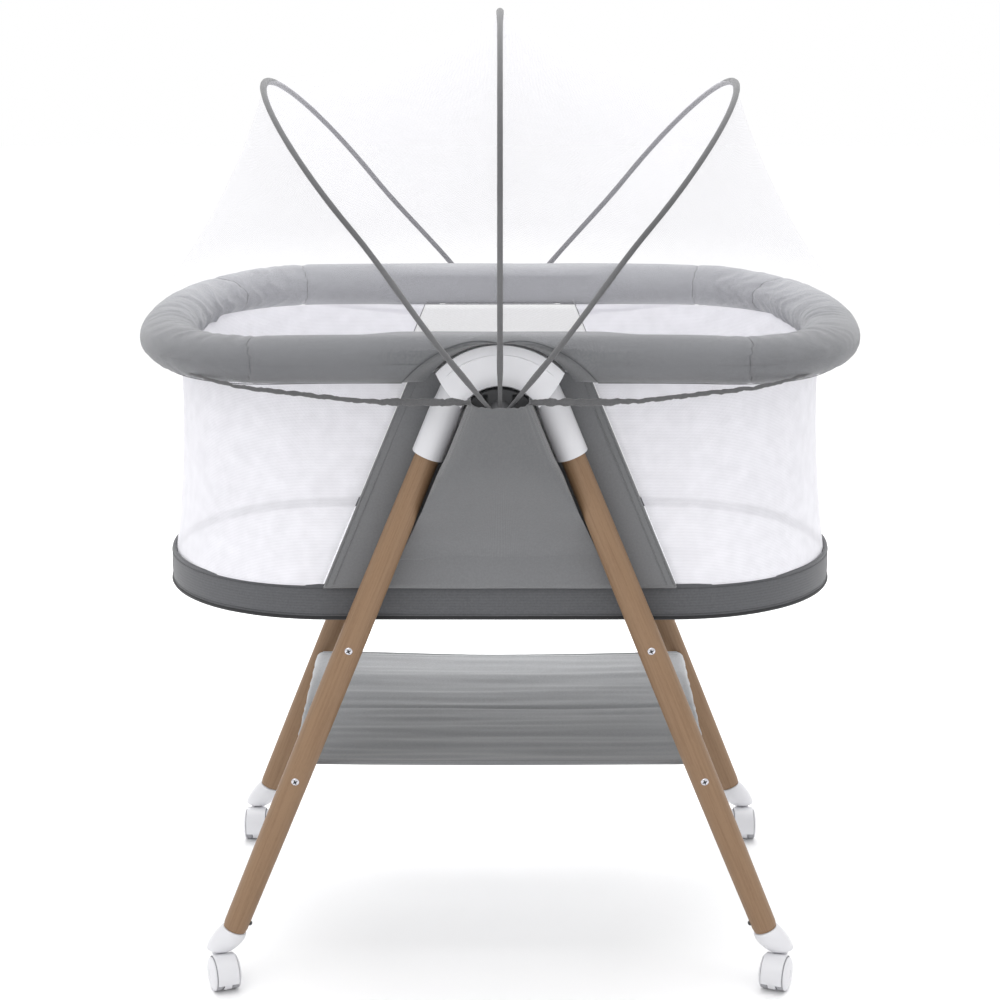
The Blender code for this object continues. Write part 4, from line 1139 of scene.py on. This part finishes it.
def hoop_profile(which):
    """Half of a hoop in its plane, from the pivot to its top, as (distance from the axis, half width)."""
    _, radius, foot = HOOPS[which]
    line = [(HOOP_START, foot), (0.06, foot)]
    for k in range(17):
        share = k / 16
        line.append((CRANK_LOW + (CRANK_HIGH - CRANK_LOW) * share, foot + (HOOP_HALF - foot) * smooth(share)))
    for k in range(33):
        a = math.pi / 2 * k / 32
        line.append((SHOULDER + (radius - SHOULDER) * math.sin(a), HOOP_HALF * math.cos(a)))
    return line


def hoop_line(which, count, start=HOOP_START):
    """A whole hoop in place, from its front foot over to its rear foot."""
    s = sizes()
    lean = HOOPS[which][0] * s.hoop_angle
    half = [(r, y) for r, y in hoop_profile(which) if r >= start]
    if start > HOOP_START:
        half.insert(0, (start, HOOPS[which][2]))
    plane = [(r, -y) for r, y in half] + [(r, y) for r, y in reversed(half[:-1])]
    plane = even(plane, count)
    return [Vector((r * math.sin(lean), y, s.pivot_z + r * math.cos(lean))) for r, y in plane]


def build_hoop(which):
    """A hoop in its cloth sleeve, slightly fuller at the top, with a flat eye on the pin at each foot."""
    s = sizes()
    count = 260
    line = hoop_line(which, count)

    def wobble(i):
        top = math.exp(-(((i / (count - 1) - 0.5) / 0.055) ** 2))
        ripple = 0.05 * noise.noise(Vector((i * 0.21, HOOPS[which][0] * 7, 0)))
        foot = min(i, count - 1 - i)
        pucker = 0.10 * math.exp(-(((foot - 13) / 3.0) ** 2))
        slim = 0.30 * (1 - clamp((foot - 5) / 6))
        return 1.0 + 0.38 * top + ripple + pucker * (1 - slim / 0.30) - slim

    bm = tube(line, s.hoop_wire, 12, wobble=wobble)
    lean = HOOPS[which][0] * s.hoop_angle
    for sy in (-1, 1):
        eye = lathe([(0.0034, 0.0021), (0.0058, 0.0021), (0.0066, 0.0014), (0.0066, -0.0014), (0.0058, -0.0021),
                     (0.0034, -0.0021), (0.0034, 0.0021)], 32,
                    Matrix.Translation((0, sy * HOOPS[which][2], s.pivot_z)) @ Matrix.Rotation(math.pi / 2, 4, "X"))
        add_into(bm, eye)
    obj = piece(f"hoop_sleeve_{which}", bm, hoop_cloth(), f"hoop_{which}")
    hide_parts(f"hoop_{which}")


def relaxed(first, second, columns, across, rounds, clear=None):
    """A taut film between two edges: points settle between their neighbours and the edges stay put.

    across is the pull from edge to edge, and clear(net) may push points off a neighbour in the last rounds.
    """
    a, b = np.array([tuple(p) for p in first]), np.array([tuple(p) for p in second])
    share = np.linspace(0, 1, columns + 1)[:, None, None]
    net = a[None] * (1 - share) + b[None] * share
    for turn_count in range(rounds):
        net[1:-1, 1:-1] = (net[:-2, 1:-1] + net[2:, 1:-1]) * across + (net[1:-1, :-2] + net[1:-1, 2:]) * (0.5 - across)
        if clear is not None and turn_count > rounds - 12:
            clear(net)
    return net


def keep_off_rail(net, line):
    """Pushes net points out of the padding, to just above its surface."""
    s = sizes()
    flat = net.reshape(-1, 3)
    near = ((flat[:, None, :2] - line[None]) ** 2).sum(2).argmin(1)
    spot = line[near]
    height = s.rail_z - RAIL_DROP * (np.abs(spot[:, 0]) / s.rail_half_x) ** 4
    off = flat[:, :2] - spot
    across = np.linalg.norm(off, axis=1)
    up = flat[:, 2] - height
    a, b = s.pad_half_width + 0.0022, s.pad_half_height + 0.0022
    size = np.sqrt((across / a) ** 2 + (up / b) ** 2)
    inside = size < 1
    grow = np.where(inside, 1 / np.maximum(size, 0.2), 1.0)
    flat[:, :2] = spot + off * grow[:, None]
    flat[:, 2] = height + up * grow
    net[:] = flat.reshape(net.shape)


def even_rows(lines, order):
    """Stacks lines and adds one more halfway between each pair."""
    made = [lines[order[0]]]
    for first, second in zip(order, order[1:]):
        made += [lines[first] * 0.5 + lines[second] * 0.5, lines[second]]
    return np.stack(made)


def net_panel(name, net, material):
    columns, rows = net.shape[0] - 1, net.shape[1] - 1

    def place(u, v):
        return Vector(net[round(u * columns), round(v * rows)])

    tall = float(np.linalg.norm(np.diff(net[0], axis=0), axis=1).sum())
    wide = float(np.linalg.norm(np.diff(net[:, rows // 2], axis=0), axis=1).sum())
    bm = draped_grid(columns, rows, place, wide, tall)
    obj = piece(name, bm, material, normals=False, angle=80)
    shares = {}
    for polygon in obj.data.polygons:
        for corner in polygon.loop_indices:
            vertex = obj.data.loops[corner].vertex_index
            shares[vertex] = obj.data.uv_layers[0].data[corner].uv[0] / wide
    point_value(obj, "veil", veil_beside_hub if "wrap" in name else veil_over_rail)
    area = sum(p.area for p in obj.data.polygons)
    return obj, np.array([shares[i] for i in range(len(obj.data.vertices))]), area, wide, tall


def build_canopy():
    """One fine net over three hoops and the rail, in the four panels that its hoops divide it into."""
    rows = 150
    net_cloth = netting("canopy net", colours().net, 0.85, 0.0019, veiled=True)
    line, outward = rail_frames(720)
    edges = {which: hoop_line(which, rows + 1, 0.100) for which in HOOPS}
    for name, a, b in (("left_middle", "left", "centre"), ("right_middle", "centre", "right")):
        net = relaxed(edges[a], edges[b], 40, 0.29, RELAX_ROUNDS)
        obj, share, area, wide, tall = net_panel(f"canopy_{name}", net, net_cloth)
        blend_weights(obj)
        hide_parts(f"net_{name}")
    for which, sx in (("left", -1), ("right", 1)):
        order = [i for i in range(len(line)) if sx * line[i][0] > 0.105]
        order.sort(key=lambda i: math.atan2(line[i][1], sx * line[i][0]))
        rail = {angle: [rail_point(line, outward, i, math.radians(angle), 0.0024) for i in order]
                for angle in (28, 0, -30, -55)}
        rail = {angle: even(points, rows + 1) for angle, points in rail.items()}
        net = relaxed(edges[which], rail[28], 44, 0.31, RELAX_ROUNDS,
                      lambda net: keep_off_rail(net[1:-1], line[::4]))
        hug = even_rows(rail, (28, 0, -30, -55))
        wrap_cloth = netting("rail net", colours().net, 0.967, 0.0019, veiled=True)
        wrap, _, area, wide, tall = net_panel(f"canopy_{which}_wrap", hug, wrap_cloth)
        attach(wrap, "stand")
        if sx < 0:
            net = net[::-1]
        obj, share, area, wide, tall = net_panel(f"canopy_{which}_end", net, net_cloth)
        if sx < 0:
            blend_weights(obj)
        else:
            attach(obj, "hoop_right")
            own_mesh(obj)
        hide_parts(f"net_{which}_end")


HEM_LINE = ((0.0, 0.7023), (0.029, 0.7023), (0.119, 0.7026), (0.157, 0.7045), (0.215, 0.7115), (0.263, 0.7170),
            (0.326, 0.7245), (0.37, 0.7225))


def hem_height(x):
    return float(np.interp(abs(x), [p[0] for p in HEM_LINE], [p[1] for p in HEM_LINE]))


def build_skirt():
    """The net's skirt below the rail on each long side, gathered into a cloth-covered elastic."""
    line, outward = rail_frames(720)
    s = sizes()
    for end, sy in ENDS:
        order = [i for i in range(720) if sy * line[i][1] > 0.06]
        order.sort(key=lambda i: line[i][0])
        top = even([rail_point(line, outward, i, math.radians(-40), 0.0016) for i in order], 401)
        hem = []
        for p in top:
            x = p[0]
            z = hem_height(x)
            edge = clamp((abs(x) - 0.27) / 0.09)
            y = (s.rail_half_y + s.pad_half_width - 0.0020) * (1 - edge) + edge * (abs(p[1]) - 0.018)
            y = min(y, abs(p[1]) + 0.008)
            crinkle = 0.0012 * noise.noise(Vector((x * 90, sy * 5, 0))) + 0.0007 * noise.noise(Vector((x * 260, sy, 3)))
            hem.append((x, sy * y, z + crinkle))
        hem = np.array(hem)
        skirt_net = netting("skirt net", colours().net, 0.74, 0.0019, veiled=True)
        for side, sx in SIDES:
            part = [i for i in range(401) if sx * top[i][0] > 0.108]
            first, last = part[0], part[-1]

            def place(u, v, first=first, last=last, top=top, hem=hem, sy=sy, sx=sx):
                i = first + int(round(u * (last - first)))
                j = int(min(max(i - sx * 16 * (1 - v) * min(1.0, (abs(top[i][0]) - 0.1) / 0.05), first), last))
                point = Vector(top[j]).lerp(Vector(hem[i]), v)
                fold = noise.noise(Vector((hem[i][0] * 75 + 3, v * 1.2, sy * 2.0)))
                return point + Vector((0, sy * 0.0020 * fold * v * (1.2 - v), 0))

            bm = draped_grid(last - first, 8, place, 0.33, 0.04)
            obj = piece(f"net_skirt_{end}_{side}", bm, skirt_net, "stand", normals=False, angle=80)
            point_value(obj, "veil", veil_under_rail)

        def wobble(x, sy=sy):
            puff = 1 + 0.35 * noise.noise(Vector((x * 120, sy * 3, 1))) + 0.2 * noise.noise(Vector((x * 330, sy, 7)))
            bunch = 1 + 0.55 * clamp((0.135 - abs(x)) / 0.015) * clamp((abs(x) - 0.030) / 0.02)
            return puff * bunch * (1.0 - 0.5 * clamp((abs(x) - 0.25) / 0.1))

        hem_cloth = woven("hem cloth", shade(colours().hoop, 0.9), 0.0007, 0.2)
        halves = []
        for side, sx in SIDES:
            half = [tuple(p) for p in hem if sx * p[0] > 0.031]
            halves.append(tube(half, 0.0025, 10, wobble=lambda i, half=half: wobble(half[i][0])))
        piece(f"hem_elastic_{end}", joined(halves), hem_cloth, "stand")


def build_pivot_cover(end, sy):
    """The panel's cloth drawn out over the hoops' pin, open at its top and falling back between the legs."""
    s = sizes()
    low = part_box(f"pivot_bracket_{end}")[0]
    panel_low, panel_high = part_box(f"side_panel_{end}")
    flat = max(abs(panel_low.y), abs(panel_high.y)) - 0.0010
    back, front, rim_height, foot = s.leg_plane + s.hub_depth / 2 + 0.0012, 0.3062, 0.7010, 0.5050
    clear = low.z - 0.005

    def place(u, v):
        z = rim_height + (foot - rim_height) * v
        a = math.pi * (u - 0.5)
        beside_sleeve = clamp((z - 0.615) / 0.020)
        wide = min(leg_x(z) - 0.0178 - 0.0017 * beside_sleeve, 0.0425 + 0.45 * (rim_height - z))
        x = wide * math.copysign(abs(math.sin(a)) ** 0.8, math.sin(a))
        fall = clamp((clear + 0.020 - z) / (clear + 0.020 - foot))
        out = flat + (front - flat) * (1 - smooth(fall))
        side = min(back, out)
        fold = 0.0010 * noise.noise(Vector((u * 24, v * 2.5, sy * 2))) * (1 - v) ** 2
        rim = 0.0015 * noise.noise(Vector((u * 17, 3.0, sy))) * (1 - v)
        y = side + (out - side) * max(0.0, math.cos(a)) ** 0.40 + fold
        return Vector((x, sy * min(y, front), z + rim))

    # Painted shade: the pocket's cloth is darkened towards its rim and returns to the panel's tone at its foot.
    def tone(co):
        down = clamp((rim_height - co.z) / (rim_height - foot - 0.02))
        return 0.74 + 0.10 * down + 0.16 * down**4

    bm = draped_grid(90, 80, place, 0.20, 0.23)
    cloth = woven("pocket cloth with painted shade", colours().panel, 0.0010, 0.10, painted_shade_toned=True)
    obj = piece(f"pivot_pocket_{end}", bm, cloth, "stand")
    point_value(obj, "tone", tone)
    thicken(obj, 0.0007)


# ---------------------------------------------------------------- carried frame pieces
def dress_frame_nodes():
    """Finishes for the frame's own solids that stay in view."""
    steel = moulded("coated steel", colours().steel, 0.35, 0.1, 0.85)
    lever = moulded("lever plastic", (0.16, 0.16, 0.17), 0.45, 0.15)
    board = moulded("fibre board", (0.33, 0.25, 0.16), 0.8, 0.5)
    for name, obj in NODES.items():
        if obj.hide_render:
            continue
        if name.startswith(("stretcher", "rail_tube", "caster_axle")):
            finish = steel
        elif name.startswith("brake_lever"):
            finish = lever
        elif name.startswith("pivot_bracket"):
            finish = moulded("pivot plate", (0.085, 0.086, 0.09), 0.6, 0.15)
        elif name == "base_board":
            finish = board
        else:
            finish = white_plastic()
        obj.data.materials.clear()
        obj.data.materials.append(finish)


# ---------------------------------------------------------------- stage
def build_stage():
    """A pale floor, soft studio light and the camera."""
    scene = bpy.context.scene
    scene.view_settings.view_transform = "Standard"
    scene.view_settings.look = "None"
    bm = bmesh.new()
    bmesh.ops.create_grid(bm, x_segments=1, y_segments=1, size=9.0)
    floor_material = bpy.data.materials.new("studio floor")
    floor_material.use_nodes = True
    shader = floor_material.node_tree.nodes["Principled BSDF"]
    links, nodes = floor_material.node_tree.links, floor_material.node_tree.nodes
    coordinates = nodes.new("ShaderNodeTexCoord")
    far = nodes.new("ShaderNodeVectorMath")
    far.operation = "LENGTH"
    links.new(coordinates.outputs["Object"], far.inputs[0])
    outward = map_range(nodes, links, far.outputs["Value"], (0.0, 1.0), (0.7, 2.6))
    near_far = tone_ramp(nodes, links, outward, (0.95, 0.95, 0.955), (1.0, 1.0, 1.0), 0.0, 1.0)
    links.new(near_far, shader.inputs["Base Color"])
    shader.inputs["Roughness"].default_value = 0.9
    shader.inputs["Specular IOR Level"].default_value = 0.1
    floor = piece("studio_floor", bm, floor_material, normals=False)
    world = bpy.data.worlds.new("studio")
    world.use_nodes = True
    world.node_tree.nodes["Background"].inputs["Color"].default_value = (1.0, 1.0, 1.0, 1)
    world.node_tree.nodes["Background"].inputs["Strength"].default_value = 1.0
    scene.world = world
    lights = (
        ("key", (-1.4, -2.4, 3.0), 2.0, 16.0),
        ("top", (0.0, 0.3, 3.2), 3.0, 66.0),
        ("back", (0.0, 2.5, 1.7), 2.0, 36.0),
    )
    for name, where, size, power in lights:
        data = bpy.data.lights.new(name, "AREA")
        data.size = size
        data.energy = power
        lamp = bpy.data.objects.new(f"light_{name}", data)
        lamp.location = where
        lamp.rotation_euler = (Vector((0, 0, 0.55)) - Vector(where)).to_track_quat("-Z", "Y").to_euler()
        scene.collection.objects.link(lamp)
    data = bpy.data.cameras.new("camera")
    data.lens = 86.4
    data.sensor_width = 36.0
    camera = bpy.data.objects.new("camera", data)
    camera.location = (0.0, -2.8015, 1.2416)
    camera.rotation_euler = (math.radians(90 - 14.41), 0.0, 0.0)
    scene.collection.objects.link(camera)
    scene.camera = camera


# ---------------------------------------------------------------- operators
class BASSINET_OT_legs(bpy.types.Operator):
    """Turn the four legs and set their screws"""

    bl_idname = "bassinet.legs"
    bl_label = "Legs"

    def execute(self, context):
        for side, sx in SIDES:
            for end, sy in ENDS:
                build_leg(side, sx, end, sy)
                build_screws(side, sx, end, sy)
        return {"FINISHED"}


class BASSINET_OT_hubs(bpy.types.Operator):
    """Mould the two hub arches with their sleeves"""

    bl_idname = "bassinet.hubs"
    bl_label = "Hubs"

    def execute(self, context):
        for end, sy in ENDS:
            build_hub(end, sy)
            build_pivot_cover(end, sy)
        return {"FINISHED"}


class BASSINET_OT_casters(bpy.types.Operator):
    """Make the ferrules, casters and wheels"""

    bl_idname = "bassinet.casters"
    bl_label = "Casters"

    def execute(self, context):
        for side, sx in SIDES:
            for end, sy in ENDS:
                build_socket(side, sx, end, sy)
                build_caster(side, sx, end, sy)
        return {"FINISHED"}


class BASSINET_OT_rail(bpy.types.Operator):
    """Sew the padded rail cover"""

    bl_idname = "bassinet.rail"
    bl_label = "Rail"

    def execute(self, context):
        build_rail()
        return {"FINISHED"}


class BASSINET_OT_cot(bpy.types.Operator):
    """Sew the band, panels, mesh walls and mattress"""

    bl_idname = "bassinet.cot"
    bl_label = "Cot"

    def execute(self, context):
        build_band()
        for end, sy in ENDS:
            build_panel(end, sy)
        for side, sx in SIDES:
            build_wall(side, sx)
        build_mattress()
        return {"FINISHED"}


class BASSINET_OT_shelf(bpy.types.Operator):
    """Stretch the storage shelf between its rods"""

    bl_idname = "bassinet.shelf"
    bl_label = "Shelf"

    def execute(self, context):
        build_shelf()
        return {"FINISHED"}


class BASSINET_OT_hoops(bpy.types.Operator):
    """Bend the three canopy hoops"""

    bl_idname = "bassinet.hoops"
    bl_label = "Hoops"

    def execute(self, context):
        for which in HOOPS:
            build_hoop(which)
        return {"FINISHED"}


class BASSINET_OT_canopy(bpy.types.Operator):
    """Stretch the net over the hoops and gather its skirt"""

    bl_idname = "bassinet.canopy"
    bl_label = "Net canopy"

    def execute(self, context):
        build_canopy()
        build_skirt()
        return {"FINISHED"}


class BASSINET_OT_frame_finish(bpy.types.Operator):
    """Give the frame's own rods, levers and board their finishes"""

    bl_idname = "bassinet.frame_finish"
    bl_label = "Frame finishes"

    def execute(self, context):
        dress_frame_nodes()
        return {"FINISHED"}


class BASSINET_OT_stage(bpy.types.Operator):
    """Set the floor, the lights and the camera"""

    bl_idname = "bassinet.stage"
    bl_label = "Stage"

    def execute(self, context):
        build_stage()
        return {"FINISHED"}


STEPS = ("stage", "legs", "hubs", "casters", "rail", "cot", "shelf", "hoops", "canopy", "frame_finish")


class BASSINET_PT_panel(bpy.types.Panel):
    """Sidebar panel with one button for each group of pieces"""

    bl_label = "Bassinet"
    bl_idname = "BASSINET_PT_panel"
    bl_space_type = "VIEW_3D"
    bl_region_type = "UI"
    bl_category = "Bassinet"

    def draw(self, context):
        for step in STEPS:
            self.layout.operator(f"bassinet.{step}")
        box = self.layout.box()
        box.prop(context.scene.bassinet_sizes, "hoop_wire")
        box.prop(context.scene.bassinet_sizes, "hoop_angle")
        for colour in ("wood", "rail", "panel", "band", "shelf", "net"):
            box.prop(context.scene.bassinet_colours, colour)


CLASSES = (
    BassinetSizes,
    BassinetColours,
    BASSINET_OT_legs,
    BASSINET_OT_hubs,
    BASSINET_OT_casters,
    BASSINET_OT_rail,
    BASSINET_OT_cot,
    BASSINET_OT_shelf,
    BASSINET_OT_hoops,
    BASSINET_OT_canopy,
    BASSINET_OT_frame_finish,
    BASSINET_OT_stage,
    BASSINET_PT_panel,
)


def register():
    for cls in CLASSES:
        bpy.utils.register_class(cls)
    bpy.types.Scene.bassinet_sizes = bpy.props.PointerProperty(type=BassinetSizes)
    bpy.types.Scene.bassinet_colours = bpy.props.PointerProperty(type=BassinetColours)


def unregister():
    del bpy.types.Scene.bassinet_colours
    del bpy.types.Scene.bassinet_sizes
    for cls in reversed(CLASSES):
        bpy.utils.unregister_class(cls)


def main():
    register()
    for step in STEPS:
        getattr(bpy.ops.bassinet, step)()


if __name__ == "__main__":
    main()
